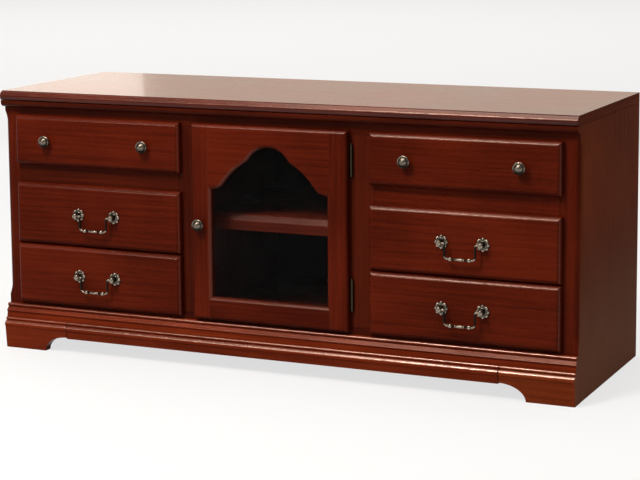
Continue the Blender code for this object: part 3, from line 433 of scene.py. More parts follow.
class Pencil:
    """Draws an outline in edit mode, in lines and arcs on a plane square to an axis."""

    # The two coordinates of an outline, and the direction from which it is seen.
    PLANES = {"X": (1, 2, (1, 0, 0)), "Y": (0, 2, (0, -1, 0)), "Z": (0, 1, (0, 0, 1))}

    def __init__(self, axis, level, start):
        self.axis = "XYZ".index(axis)
        self.first, self.second, self.spindle = self.PLANES[axis]
        self.level = level
        self.tip = Vector(start)
        deselect()
        bpy.ops.mesh.primitive_plane_add(size=0.01, location=self.spot(start))
        settle()
        bpy.ops.object.mode_set(mode="EDIT")
        bpy.ops.mesh.select_mode(type="VERT")
        bpy.ops.mesh.select_all(action="SELECT")
        bpy.ops.mesh.merge(type="CENTER")

    def spot(self, point):
        """A point of the outline in space."""
        place = [self.level] * 3
        place[self.first], place[self.second] = point
        return Vector(place)

    def line(self, *points):
        """Straight on to each point."""
        for point in points:
            step = self.spot(point) - self.spot(self.tip)
            bpy.ops.mesh.extrude_region_move(TRANSFORM_OT_translate={"value": step})
            self.tip = Vector(point)
        return self

    def arc(self, middle, degrees, steps=ROUND_STEPS):
        """Round a point, anticlockwise for a positive angle."""
        angle = math.radians(degrees)
        bpy.ops.mesh.spin(steps=steps, angle=-angle, center=self.spot(middle), axis=self.spindle)
        middle = Vector(middle)
        self.tip = middle + Matrix.Rotation(angle, 2) @ (self.tip - middle)
        return self

    def draw_out(self, distance):
        """Close and fill the outline, and draw it out along its axis."""
        bpy.ops.mesh.select_all(action="SELECT")
        bpy.ops.mesh.remove_doubles(threshold=NEAR / 10)
        bpy.ops.mesh.edge_face_add()
        step = Vector()
        step[self.axis] = distance
        bpy.ops.mesh.extrude_region_move(TRANSFORM_OT_translate={"value": step})
        face_outwards()
        bpy.ops.object.mode_set(mode="OBJECT")
        return bpy.context.object

    def turn(self, steps=TURN_STEPS):
        """Turn the profile all round the Y axis, as on a lathe."""
        bpy.ops.mesh.select_all(action="SELECT")
        bpy.ops.mesh.spin(
            steps=steps, angle=2 * math.pi, center=(0, 0, 0), axis=(0, 1, 0), use_auto_merge=True
        )
        face_outwards()
        bpy.ops.object.mode_set(mode="OBJECT")
        return bpy.context.object


class Bar:
    """A round bar in the XZ plane, drawn from a ring in edit mode: run on, bent and swollen."""

    def __init__(self, start, radius, steps=20):
        self.tip = Vector((start[0], 0, start[1]))
        self.radius = radius
        deselect()
        bpy.ops.mesh.primitive_circle_add(
            vertices=steps, radius=radius, location=self.tip, rotation=(0, math.pi / 2, 0)
        )
        settle()
        bpy.ops.object.mode_set(mode="EDIT")
        bpy.ops.mesh.select_mode(type="EDGE")
        bpy.ops.mesh.select_all(action="SELECT")

    def run(self, point, radius):
        """Straight on to a point, where the bar has a given radius."""
        goal = Vector((point[0], 0, point[1]))
        bpy.ops.mesh.extrude_region_move(TRANSFORM_OT_translate={"value": goal - self.tip})
        self.tip = goal
        self.swell(radius)
        return self

    def swell(self, radius):
        """Change the radius at the tip."""
        grow = radius / self.radius
        bpy.ops.transform.resize(value=(grow, grow, grow), center_override=self.tip)
        self.radius = radius

    def bend(self, middle, degrees, steps=ROUND_STEPS):
        """Round a point, anticlockwise seen from the front for a positive angle."""
        angle = math.radians(degrees)
        middle = Vector((middle[0], 0, middle[1]))
        bpy.ops.mesh.spin(steps=steps, angle=-angle, center=middle, axis=(0, -1, 0))
        self.tip = middle + Matrix.Rotation(angle, 3, (0, -1, 0)) @ (self.tip - middle)
        return self

    def bead(self, towards, half, radius, steps=6):
        """A round swelling along the X axis, as long as twice its half length."""
        start, neck = self.tip.copy(), self.radius
        for i in range(1, 2 * steps + 1):
            bulge = math.sin(math.pi * i / (2 * steps))
            place = start.x + towards * half * (1 - math.cos(math.pi * i / (2 * steps)))
            self.run((place, start.z), neck + (radius - neck) * bulge)
        return self


def smooth(piece):
    """Shade a piece smooth between its crisp edges, with its flat faces kept flat."""
    select_only(piece)
    bpy.ops.object.shade_smooth_by_angle(angle=SHADE_ANGLE)
    even = piece.modifiers.new("even", "WEIGHTED_NORMAL")
    even.keep_sharp = True
    bpy.ops.object.modifier_apply(modifier=even.name)


def mark_points(piece, name, rule):
    """Let each point of a piece carry a number that a rule gives it."""
    marks = piece.data.attributes.new(name, "FLOAT", "POINT")
    marks.data.foreach_set("value", [rule(vert) for vert in piece.data.vertices])


def dress(piece, node, *finishes):
    """Name a finished piece for the node that it stands for, paint it and let it move with that node."""
    smooth(piece)
    piece.name = "finished_" + node
    piece.data.name = piece.name
    if finishes:
        piece.data.materials.clear()
    for finish in finishes:
        piece.data.materials.append(finish)
    # Each board comes from its own part of the trunk.
    number = list(BODY_OF).index(node) * BOARD_STEP % 1
    mark_points(piece, "board", lambda vert: number)
    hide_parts(node)
    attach(piece, BODY_OF[node])
    return piece


def seat(node):
    """The middle of the face that a fitting sits on."""
    low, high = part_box(node)
    return ((low.x + high.x) / 2, high.y, (low.z + high.z) / 2)


class Wire:
    """A node's output, so that shader maths reads as Python."""

    def __init__(self, finish, socket):
        self.finish = finish
        self.socket = socket

    def reckon(self, operation, first, second):
        """The result of a Math node."""
        return self.finish.node("ShaderNodeMath", {"operation": operation}, {0: first, 1: second})

    def __add__(self, other):
        return self.reckon("ADD", self, other)

    def __radd__(self, other):
        return self.reckon("ADD", other, self)

    def __sub__(self, other):
        return self.reckon("SUBTRACT", self, other)

    def __rsub__(self, other):
        return self.reckon("SUBTRACT", other, self)

    def __mul__(self, other):
        return self.reckon("MULTIPLY", self, other)

    def __rmul__(self, other):
        return self.reckon("MULTIPLY", other, self)

    def __pow__(self, other):
        return self.reckon("POWER", self, other)

    def __rpow__(self, other):
        return self.reckon("POWER", other, self)

    def most(self, other):
        """The larger of two values."""
        return self.reckon("MAXIMUM", self, other)


class Finish:
    """A procedural material or sky, and the one method that adds a node to it."""

    def __init__(self, name, library="materials"):
        self.material = getattr(bpy.data, library).new(name)
        self.material.use_nodes = True
        self.tree = self.material.node_tree
        self.tree.nodes.clear()

    def node(self, kind, settings, inputs, output=0):
        """Add a node, set it up, fill or link its sockets and return one output."""
        made = self.tree.nodes.new(kind)
        for name, value in settings.items():
            setattr(made, name, value)
        for key, value in inputs.items():
            if isinstance(value, Wire):
                self.tree.links.new(value.socket, made.inputs[key])
            else:
                made.inputs[key].default_value = value
        return Wire(self, made.outputs[output]) if made.outputs else None

    def mix(self, factor, first, second, blend="MIX"):
        """A mix of two colours."""
        first, second = [item if isinstance(item, Wire) else (*item, 1.0) for item in (first, second)]
        settings = {"data_type": "RGBA", "blend_type": blend}
        return self.node("ShaderNodeMix", settings, {0: factor, 6: first, 7: second}, 2)

    def noise(self, place, scale, detail=2.0, roughness=0.5):
        """Soft noise between 0 and 1."""
        inputs = {"Vector": place, "Scale": scale, "Detail": detail, "Roughness": roughness}
        return self.node("ShaderNodeTexNoise", {}, inputs, "Fac")

    def between(self, value, start, end):
        """A value's place between two limits, from 0 at the first to 1 at the second."""
        limits = {"Value": value, "From Min": start, "From Max": end}
        return self.node("ShaderNodeMapRange", {"interpolation_type": "SMOOTHSTEP"}, limits)

    def place(self):
        """Coordinates on the piece, in metres."""
        return self.node("ShaderNodeTexCoord", {}, {}, "Object")

    def moved(self, vector, step):
        """Coordinates moved by a step."""
        return self.node("ShaderNodeVectorMath", {"operation": "ADD"}, {0: vector, 1: step})

    def stretched(self, vector, grain, stretch):
        """Coordinates drawn out along the grain, which is then their X axis."""
        turned = self.node("ShaderNodeMapping", {}, {"Vector": vector, "Rotation": GRAIN_TURNS[grain]})
        return self.node("ShaderNodeMapping", {}, {"Vector": turned, "Scale": (stretch, 1, 1)})

    def attribute(self, name):
        """A number that the mesh carries."""
        return self.node("ShaderNodeAttribute", {"attribute_name": name}, {}, "Fac")

    def bump(self, height, depth):
        """A surface normal from a height."""
        return self.node("ShaderNodeBump", {}, {"Strength": 1.0, "Distance": depth, "Height": height})

    def shader(self, inputs):
        """The surface itself."""
        return self.node("ShaderNodeBsdfPrincipled", {}, inputs)

    def axis(self, vector, letter):
        """One coordinate of a vector."""
        return self.node("ShaderNodeSeparateXYZ", {}, {0: vector}, letter)

    def done(self, surface, kind="ShaderNodeOutputMaterial"):
        """Show a surface and return the material."""
        self.node(kind, {}, {"Surface": surface})
        return self.material


def colour(name):
    """A colour from the panel."""
    return tuple(getattr(bpy.context.scene.cabinet_colours, name))


def lacquer(sheen):
    """Socket values of the clear lacquer on a wood, from dull to polished."""
    colours = bpy.context.scene.cabinet_colours
    values = {"Specular Tint": (*colour("lacquer_tint"), 1.0)}
    if sheen == "polish":
        values.update({"Coat Weight": colours.polish, "Coat Roughness": 0.08, "Coat IOR": 1.7})
        sheen = "satin"
    values["Specular IOR Level"] = getattr(colours, sheen + "_gloss")
    if sheen in LACQUER_IOR:
        values["IOR"] = LACQUER_IOR[sheen]
    return values


def wood(kind, grain, sheen="satin"):
    """Stained or pale wood with growth rings, streaks, fibres and pores along one axis."""
    name = f"{kind}_{sheen}_along_{grain.lower()}"
    if name in bpy.data.materials:
        return bpy.data.materials[name]
    finish = Finish(name)
    colours = bpy.context.scene.cabinet_colours
    board = finish.attribute("board")
    steps = {axis: board * step for axis, step in TRUNK_STEPS.items()}
    shift = finish.node("ShaderNodeCombineXYZ", {}, steps)
    place = finish.place()
    trunk = finish.moved(place, shift)

    long = finish.stretched(trunk, grain, 0.10)
    bent = finish.moved(long, finish.noise(long, scale=9.0, detail=1.0) * 0.05)
    settings = {"wave_type": "RINGS", "rings_direction": "X", "wave_profile": "SAW"}
    waves = {"Vector": bent, "Scale": 22.0, "Distortion": 2.2, "Detail": 2.0, "Detail Scale": 1.4}
    rings = finish.node("ShaderNodeTexWave", settings, waves, "Fac")
    streaks = finish.noise(finish.stretched(trunk, grain, 0.035), scale=120.0, detail=4.0, roughness=0.62)
    fibres = finish.noise(finish.stretched(trunk, grain, 0.02), scale=1100.0, roughness=0.6)
    flecks = finish.noise(finish.stretched(trunk, grain, 0.045), scale=1700.0, detail=0.0)
    pores = finish.between(flecks, start=0.66, end=0.74)
    clouds = finish.noise(trunk, scale=3.2)

    tone = rings * TONE["rings"] + streaks * TONE["streaks"] + fibres * TONE["fibres"]
    tone = tone + clouds * TONE["clouds"] + board * TONE["board"] - TONE["less"]
    dark, light = colour(kind + "_dark"), colour(kind + "_light")
    stain = finish.mix(finish.between(tone, start=0.05, end=0.85), dark, light)
    pore = [PORE_SHADE * part for part in dark]
    stain = finish.mix(pores * colours.pore_weight, stain, pore)
    # Painted reflection: the sides grow paler and greyer towards the floor, in place of the floor's sheen.
    if kind == "side":
        low = finish.between(finish.axis(place, "Z"), *PAINTED_SHEEN_LEVELS)
        stain = finish.mix(low * colours.painted_sheen_weight, stain, colour("side_haze"))
    inputs = {"Base Color": stain}
    if kind == "box":
        depth = 0.00015
        inputs["Roughness"] = fibres * 0.15 + 0.48
        inputs["Specular IOR Level"] = 0.35
    else:
        depth = 0.00006
        inputs["Roughness"] = fibres * 0.10 + clouds * 0.08 + 0.18
        inputs.update(lacquer(sheen))
    inputs["Normal"] = finish.bump(fibres * 0.6 + streaks * 0.4 - pores, depth)
    return finish.done(finish.shader(inputs))


def fibreboard():
    """Thin brown board of pressed fibres, for the back."""
    finish = Finish("back_fibreboard")
    place = finish.place()
    chips = finish.noise(place, scale=900.0, detail=3.0, roughness=0.7)
    clouds = finish.noise(place, scale=14.0, detail=3.0)
    tone = finish.between(chips * 0.7 + clouds * 0.5, start=0.35, end=0.85)
    inputs = {"Base Color": finish.mix(tone, colour("back_dark"), colour("back_light"))}
    inputs["Roughness"] = chips * 0.2 + 0.6
    inputs["Normal"] = finish.bump(chips, depth=0.0002)
    inputs["Specular IOR Level"] = 0.3
    return finish.done(finish.shader(inputs))


def painted_shade_inside():
    """The near-black inner face of the back board: painted shade for the dark inside of the cabinet, with faint
    streaks.
    """
    finish = Finish("inside_stain")
    along = finish.stretched(finish.place(), "Z", 0.05)
    streaks = finish.noise(along, scale=160.0, detail=3.0, roughness=0.6)
    shade = finish.mix(finish.between(streaks, start=0.3, end=0.7), colour("inside"), BLACK)
    inputs = {"Base Color": shade, "Roughness": streaks * 0.2 + 0.5, "Specular IOR Level": 0.1}
    return finish.done(finish.shader(inputs))


def old_metal(kind):
    """Plated metal, rubbed bright where hands reach and dark in its recesses, with painted shade where the mesh's
    shade mark asks for it.
    """
    name = kind + "_plating"
    if name in bpy.data.materials:
        return bpy.data.materials[name]
    finish = Finish(name)
    place = finish.place()
    spots = finish.noise(place, scale=420.0, detail=4.0, roughness=0.65)
    clouds = finish.noise(place, scale=60.0)
    crests = finish.node("ShaderNodeNewGeometry", {}, {}, "Pointiness")
    # The spots make the border of the rubbed crests uneven.
    worn = finish.between(crests + spots * 0.06 - 0.03, start=0.47, end=0.54)
    # Painted shade: the mesh's shade mark darkens the lower halves of knobs and the legs of bails.
    rubbed = worn * (1 - finish.attribute("shade"))
    plating = finish.mix(rubbed, colour(kind + "_dark"), colour(kind + "_light"))
    plating = finish.mix(clouds * 0.25, plating, colour(kind + "_dark"))
    inputs = {"Base Color": plating, "Metallic": 1.0}
    inputs["Roughness"] = spots * 0.14 - rubbed * 0.20 + 0.36
    inputs["Normal"] = finish.bump(spots, depth=0.00008)
    return finish.done(finish.shader(inputs))


def pane():
    """Clear glass with a faint green body and a trace of dust, which mirrors more at a slant."""
    finish = Finish("door_pane")
    film = finish.noise(finish.place(), scale=6.0, detail=4.0, roughness=0.6)
    body = bpy.context.scene.cabinet_colours.glass_body
    slant = finish.node("ShaderNodeLayerWeight", {}, {"Blend": 0.5}, "Facing")
    mirror = slant ** 5 + 0.04
    inputs = {"Base Color": (*colour("glass"), 1.0), "IOR": 1.45}
    inputs["Roughness"] = film * 0.03 + 0.01
    inputs["Alpha"] = film * body + mirror * 0.8
    return finish.done(finish.shader(inputs))


def tilts_up(face):
    """Whether a face belongs to a round that looks up and forward."""
    return UP_TILT[0] < face.normal.z < UP_TILT[1]


def tilts_right(face):
    """Whether a face belongs to a round that looks forward and to the right."""
    return RIGHT_TILT[0] < face.normal.x < RIGHT_TILT[1] and face.normal.y < FRONT_TILT


def shows_line(face):
    """Whether a face lies where a drawer's right round shows a line of light."""
    return LINE_TILT[0] < face.normal.x < LINE_TILT[1]


def looks_aside(face):
    """Whether a face is an end that lies in the plane of the sides."""
    return abs(face.normal.x) > FLAT


def paint_faces(piece, test, slot):
    """Give the faces that pass a test another of the piece's finishes, by its number."""
    for face in piece.data.polygons:
        if test(face):
            face.material_index = slot


def eased_copy(node, width):
    """A copy of a plain board's own solid with its arrises eased."""
    deselect()
    piece = bpy.data.objects.new("finished_" + node, frame["nodes"][node].data.copy())
    bpy.context.scene.collection.objects.link(piece)
    select_only(piece)
    bpy.ops.mesh.customdata_custom_splitnormals_clear()
    with editing():
        bpy.ops.mesh.select_all(action="SELECT")
        bpy.ops.mesh.remove_doubles(threshold=NEAR)
        bpy.ops.mesh.dissolve_limited(angle_limit=math.radians(1))
        ease(width)
    return piece


class CABINET_OT_top(Operator):
    """Model the top with its rounded nose, and the crown moulding under it"""

    bl_idname = "cabinet.top"
    bl_label = "Top and Crown"

    def execute(self, context):
        sizes = context.scene.cabinet_sizes
        low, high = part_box("top_board")
        shelf = high.z - sizes.nose_step
        back = low.y + sizes.nose_top_round
        board = add_block(low, (high.x, high.y, shelf))
        with editing():
            score((0, back, 0), (0, 1, 0))
            pick("FACE", lambda face: face.normal.z > FLAT and face.calc_center_median().y > back)
            bpy.ops.mesh.extrude_region_move(TRANSFORM_OT_translate={"value": (0, 0, sizes.nose_step)})
            pick("EDGE", lies(y=low.y, z=shelf))
            round_edges(sizes.nose_top_round - sizes.eased_edge, fullness=sizes.fullness)
            pick("EDGE", lies(y=low.y, z=low.z))
            round_edges(sizes.nose_under_round)
            ease(sizes.eased_edge / 2)
        end = wood("side", "Y", "dull")
        dress(board, "top_board", wood("cherry", "X", "polish"), end, wood("cherry", "X", "nose"))
        paint_faces(board, looks_aside, 1)
        paint_faces(board, tilts_up, 2)

        low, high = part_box("crown_moulding")
        crown = add_block(low, high)
        with editing():
            pick("EDGE", lies(y=low.y, z=low.z))
            round_edges(high.z - low.z - sizes.crown_fillet)
            ease(sizes.eased_edge / 2)
        # The crown takes the frame's darker colours as painted shade under the nose.
        dress(crown, "crown_moulding", wood("frame", "X"), end)
        paint_faces(crown, looks_aside, 1)
        return {"FINISHED"}


class CABINET_OT_sides(Operator):
    """Model the two plain sides"""

    bl_idname = "cabinet.sides"
    bl_label = "Sides"

    def execute(self, context):
        width = context.scene.cabinet_sizes.eased_edge
        for word in HANDS:
            node = word + "_side_panel"
            dress(eased_block(*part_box(node), width), node, wood("side", "Z", "dull"))
        return {"FINISHED"}


class CABINET_OT_corner_posts(Operator):
    """Model the corner posts, whose round-over fades out before both ends"""

    bl_idname = "cabinet.corner_posts"
    bl_label = "Corner Posts"

    FADE_STEPS = 8
    POST_STEPS = 10  # segments of the round-over

    def levels(self, sizes, low, high):
        """Heights along the post with the part of the full round there."""
        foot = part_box("base_cap_moulding")[1].z + sizes.post_foot
        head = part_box("crown_moulding")[0].z - sizes.post_head
        edge = sizes.eased_edge / sizes.post_round
        rising = []
        for i in range(self.FADE_STEPS + 1):
            part = i / self.FADE_STEPS
            swell = edge + (1 - edge) * math.sin(part * math.pi / 2)
            rising.append((foot + sizes.post_stop * part, swell))
        falling = [(foot + head - z, part) for z, part in reversed(rising)]
        return [(low.z, edge)] + rising + falling + [(high.z, edge)]

    def execute(self, context):
        sizes = context.scene.cabinet_sizes
        low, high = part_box("right_corner_post")
        levels = self.levels(sizes, low, high)
        reach = sizes.post_round + NEAR
        post = add_block(low, high)
        with editing():
            for z, _ in levels[1:-1]:
                score((0, 0, z), (0, 0, 1))
            pick("EDGE", lies(x=high.x, y=low.y))
            round_edges(sizes.post_round, self.POST_STEPS)
            for z, part in levels:
                corner = Vector((high.x, low.y, z))

                def on_round(vert):
                    """Whether a vertex lies on the round at this height."""
                    away = vert.co - corner
                    return abs(away.z) < NEAR and -away.x < reach and away.y < reach

                pick("VERT", on_round)
                bpy.ops.transform.resize(value=(part, part, 1), center_override=corner)
        finishes = wood("cherry", "Z"), wood("side", "Z", "dull")
        twin = copy_of(post, mirrored=True)
        for word, piece in zip(HANDS, (twin, post)):
            dress(piece, word + "_corner_post", *finishes)
            paint_faces(piece, looks_aside, 1)
        return {"FINISHED"}


class CABINET_OT_boards(Operator):
    """Finish the plain boards of the front frame, the inside and the back"""

    bl_idname = "cabinet.boards"
    bl_label = "Frame and Inside Boards"

    ALONG_X = ("top_rail", "bottom_panel")
    PAIRS_ALONG_X = ("_upper_divider", "_lower_divider")
    PAIRS_ALONG_Z = ("_mullion", "_partition")

    def execute(self, context):
        width = context.scene.cabinet_sizes.eased_edge
        across = list(self.ALONG_X) + [word + name for word in HANDS for name in self.PAIRS_ALONG_X]
        upright = [word + name for word in HANDS for name in self.PAIRS_ALONG_Z]
        # Painted shade: the boards of the front frame take the darker frame colours; the right upper divider keeps
        # the plain cherry.
        for node in across:
            kind = "cherry" if node == "right_upper_divider" else "frame"
            dress(eased_copy(node, width), node, wood(kind, "X"))
        for node in upright:
            dress(eased_copy(node, width), node, wood("frame", "Z"))
        # The back board's inner face gets the painted shade of the inside.
        back = dress(eased_copy("back_panel", width / 2), "back_panel", fibreboard(), painted_shade_inside())
        paint_faces(back, lambda face: face.normal.y < -FLAT, 1)
        return {"FINISHED"}


class CABINET_OT_shelf(Operator):
    """Model the fixed shelf with its thick, rounded front edge"""

    bl_idname = "cabinet.shelf"
    bl_label = "Shelf"

    def execute(self, context):
        sizes = context.scene.cabinet_sizes
        low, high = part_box("shelf")
        slope_top, slope_foot = (low.y + sizes.shelf_run, high.z), (low.y, high.z - sizes.shelf_drop)
        back = low.y + sizes.shelf_lip
        under = high.z - sizes.shelf_board
        pencil = Pencil("X", low.x, (high.y, high.z))
        pencil.line(slope_top, slope_foot, (low.y, low.z), (back, low.z), (back, under), (high.y, under))
        shelf = pencil.draw_out(high.x - low.x)
        with editing():
            pick("EDGE", either(*[lies(y=y, z=z) for y, z in (slope_top, slope_foot)]))
            round_edges(sizes.shelf_round)
            ease(sizes.eased_edge)
        dress(shelf, "shelf", wood("cherry", "X"), wood("cherry", "X", "soft"))
        paint_faces(shelf, tilts_up, 1)
        return {"FINISHED"}


class CABINET_OT_base(Operator):
    """Model the base: beaded cap, moulded apron and bracket feet"""

    bl_idname = "cabinet.base"
    bl_label = "Base and Feet"

    CURVE_STEPS = 128  # segments of the whole ellipse that a bracket's curve is cut with

    def base_board(self, sizes, start, end, bottom):
        """A stretch of the moulded base board, down to a given height."""
        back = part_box("base_apron")[1]
        bead, bead_y = sizes.board_bead, FACE - sizes.board_bead_seat
        nose, nose_z = FACE - sizes.board_nose, back.z - 2 * bead
        face, face_top = FACE - sizes.board_reach, nose_z - sizes.board_round - sizes.board_lip
        lean = sizes.board_taper * (face_top - bottom) / face_top
        pencil = Pencil("X", start, (back.y, back.z))
        pencil.line((bead_y, back.z)).arc((bead_y, back.z - bead), 180, BEAD_STEPS)
        pencil.line((nose, nose_z), (nose, face_top + NEAR))
        pencil.line((face, face_top), (face + lean, bottom), (back.y, bottom))
        board = pencil.draw_out(end - start)
        with editing():
            pick("EDGE", lies(y=nose, z=nose_z))
            round_edges(sizes.board_round)
        return board

    def execute(self, context):
        sizes = context.scene.cabinet_sizes
        ends = wood("side", "Z", "dull")
        finishes = wood("base", "X"), ends, wood("base", "X", "shine"), wood("frame", "X")
        low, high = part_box("base_cap_moulding")
        bead, bead_y = sizes.cap_bead, FACE - sizes.cap_bead_seat
        lip, lip_z = FACE - sizes.cap_reach, high.z - 2 * bead - sizes.cap_slope
        pencil = Pencil("X", low.x, (high.y, high.z))
        pencil.line((bead_y, high.z)).arc((bead_y, high.z - bead), 180, BEAD_STEPS)
        pencil.line((lip, lip_z), (lip, lip_z - sizes.cap_lip))
        pencil.line((lip + sizes.cap_undercut, lip_z - sizes.cap_lip - sizes.cap_undercut))
        pencil.line((FACE - sizes.cap_foot, low.z), (high.y, low.z))
        cap = pencil.draw_out(high.x - low.x)
        with editing():
            ease(sizes.eased_edge / 2)
        dress(cap, "base_cap_moulding", *finishes[:3], wood("base", "X", "edge"))

        low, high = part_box("base_apron")
        apron = self.base_board(sizes, low.x, high.x, low.z)
        with editing():
            ease(sizes.eased_edge)
            # The scored lines bound the stain in the joints at the feet.
            for x in (low.x + sizes.joint_line, high.x - sizes.joint_line):
                score((x, 0, 0), (1, 0, 0))
        dress(apron, "base_apron", *finishes)

        low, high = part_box("right_foot")
        foot = self.base_board(sizes, low.x, high.x, low.z)
        middle = (low.x, (low.y + high.y) / 2, 0)
        deselect()
        bpy.ops.mesh.primitive_cylinder_add(
            vertices=self.CURVE_STEPS, radius=1, depth=1, location=middle, rotation=(math.pi / 2, 0, 0)
        )
        curve = bpy.context.object
        span = high.x - sizes.foot_flat - low.x
        curve.scale = (span, sizes.foot_curve, high.y - low.y + sizes.board_reach)
        settle()
        cut(foot, curve)
        with editing():
            ease(sizes.eased_edge)
            score((low.x + sizes.joint_line, 0, 0), (1, 0, 0))
        other = dress(copy_of(foot, mirrored=True), "left_foot", *finishes)
        # Painted sheen: the right foot takes the paler foot colours.
        dress(foot, "right_foot", wood("foot", "X"), ends, wood("foot", "X", "shine"), finishes[3])
        for piece in (cap, apron, foot, other):
            paint_faces(piece, looks_aside, 1)
            paint_faces(piece, tilts_up, 2)
        for piece in (apron, foot, other):
            paint_faces(piece, lambda face: abs(abs(face.center.x) - low.x) < sizes.joint_line, 3)
        slope_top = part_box("base_cap_moulding")[1].z - 2 * bead
        paint_faces(cap, lambda face: tilts_up(face) and face.center.z < slope_top, 3)
        return {"FINISHED"}


class CABINET_OT_drawer_fronts(Operator):
    """Model the drawer fronts, with a round-over and a small step round each face"""

    bl_idname = "cabinet.drawer_fronts"
    bl_label = "Drawer Fronts"

    def execute(self, context):
        sizes = context.scene.cabinet_sizes
        step = sizes.front_step
        finishes = wood("cherry", "X"), wood("cherry", "X", "edge"), wood("cherry", "X", "soft")
        for level in LEVELS:
            low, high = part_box(f"right_{level}_drawer_front")
            ground = low.y + step
            front = add_block((low.x, ground, low.z), high)
            with editing():
                pick("EDGE", front_edges(low, high, ground))
                round_edges(sizes.front_round, fullness=sizes.fullness)
                pick("FACE", lies(y=ground))
                bpy.ops.mesh.inset(thickness=step / 2, depth=step)
                ease(step / 4)
            twin = copy_of(front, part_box(f"left_{level}_drawer_front")[0] - low)
            for word, piece in zip(HANDS, (twin, front)):
                dress(piece, f"{word}_{level}_drawer_front", *finishes)
                paint_faces(piece, tilts_up, 1)
                paint_faces(piece, shows_line, 2)
        return {"FINISHED"}


class CABINET_OT_drawer_boxes(Operator):
    """Model the drawer boxes from their sides, ends and bottom"""

    bl_idname = "cabinet.drawer_boxes"
    bl_label = "Drawer Boxes"

    def boards(self, sizes, low, high):
        """The corners and the grain of a box's two sides, two ends and bottom."""
        wall = sizes.box_wall
        tenon, groove = wall / 2, wall / 3  # how far the ends and the bottom run into the sides
        lift, drop = wall / 6, wall / 2  # how far the ends keep from the sides' lower and upper edges
        inner_low = low + Vector((wall, wall, lift))
        inner_high = high - Vector((wall, wall, drop))
        for x in (low.x, high.x - wall):
            yield (x, low.y, low.z), (x + wall, high.y, high.z), "Y"
        for y in (low.y, high.y - wall):
            yield (inner_low.x - tenon, y, inner_low.z), (inner_high.x + tenon, y + wall, inner_high.z), "X"
        corner = (inner_high.x + groove, inner_high.y + groove, inner_low.z + sizes.box_floor)
        yield inner_low - Vector((groove, groove, 0)), corner, "X"

    def execute(self, context):
        sizes = context.scene.cabinet_sizes
        for level in LEVELS:
            low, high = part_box(f"right_{level}_drawer_box")
            pieces = []
            for start, end, grain in self.boards(sizes, low, high):
                pieces.append(eased_block(start, end, sizes.eased_edge))
                pieces[-1].data.materials.append(wood("box", grain))
            box = join(pieces)
            twin = copy_of(box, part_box(f"left_{level}_drawer_box")[0] - low)
            for word, piece in zip(HANDS, (twin, box)):
                dress(piece, f"{word}_{level}_drawer_box")
        return {"FINISHED"}


class CABINET_OT_knobs(Operator):
    """Turn the knobs of the top drawers and the door"""

    bl_idname = "cabinet.knobs"
    bl_label = "Knobs"

    COVE_STEPS = 6
    RIM_STEPS = 10
    # Where the painted shade starts above a knob's middle, in parts of its radius, and how fast it deepens.
    PATINA_START, PATINA_RISE = 0.1, 1.4

    def turned_knob(self, sizes, radius, reach):
        """A knob at the origin: plate, coved stem, rim and domed button."""
        edge, stem, cove, rim = sizes.knob_plate_edge, sizes.knob_stem, sizes.knob_cove, sizes.knob_rim
        neck, button, groove = sizes.knob_neck, sizes.knob_button, sizes.knob_groove
        pencil = Pencil("Z", 0.0, (0.0, 0.0))
        pencil.line((sizes.knob_plate, 0.0), (sizes.knob_plate, -edge), (stem + cove, -edge))
        pencil.arc((stem + cove, -edge - cove), 90, self.COVE_STEPS)
        pencil.line((stem, -neck + cove))
        pencil.arc((stem + cove, -neck + cove), 90, self.COVE_STEPS)
        pencil.line((radius - rim, -neck - rim))
        pencil.arc((radius - rim, -neck - 2 * rim), -180, self.RIM_STEPS)
        pencil.line((button + rim, -groove - rim / 2), (button, -groove))
        dome = (button ** 2 + (reach - groove) ** 2) / (2 * (reach - groove))
        sweep = math.degrees(math.asin(button / dome))
        pencil.arc((0.0, dome - reach), -sweep, self.RIM_STEPS)
        return pencil.turn()

    def painted_shade(self, height):
        """How dark a knob is painted at a height in parts of its radius: its lower half gets painted shade."""
        return min(max(self.PATINA_START - self.PATINA_RISE * height, 0.0), 1.0)

    def execute(self, context):
        sizes = context.scene.cabinet_sizes
        low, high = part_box("door_knob")
        radius = (high.x - low.x) / 2
        knob = self.turned_knob(sizes, radius, high.y - low.y)
        with editing():
            ease(sizes.knob_ease)
        # Painted shade: the lower half of each knob is darkened.
        mark_points(knob, "shade", lambda vert: self.painted_shade(vert.co.z / radius))
        nodes = ["door_knob"]
        nodes += [f"{side}_top_drawer_{hand}_knob" for side in HANDS for hand in HANDS]
        for node in nodes:
            dress(copy_of(knob, seat(node)), node, old_metal("pewter"))
        discard(knob)
        return {"FINISHED"}


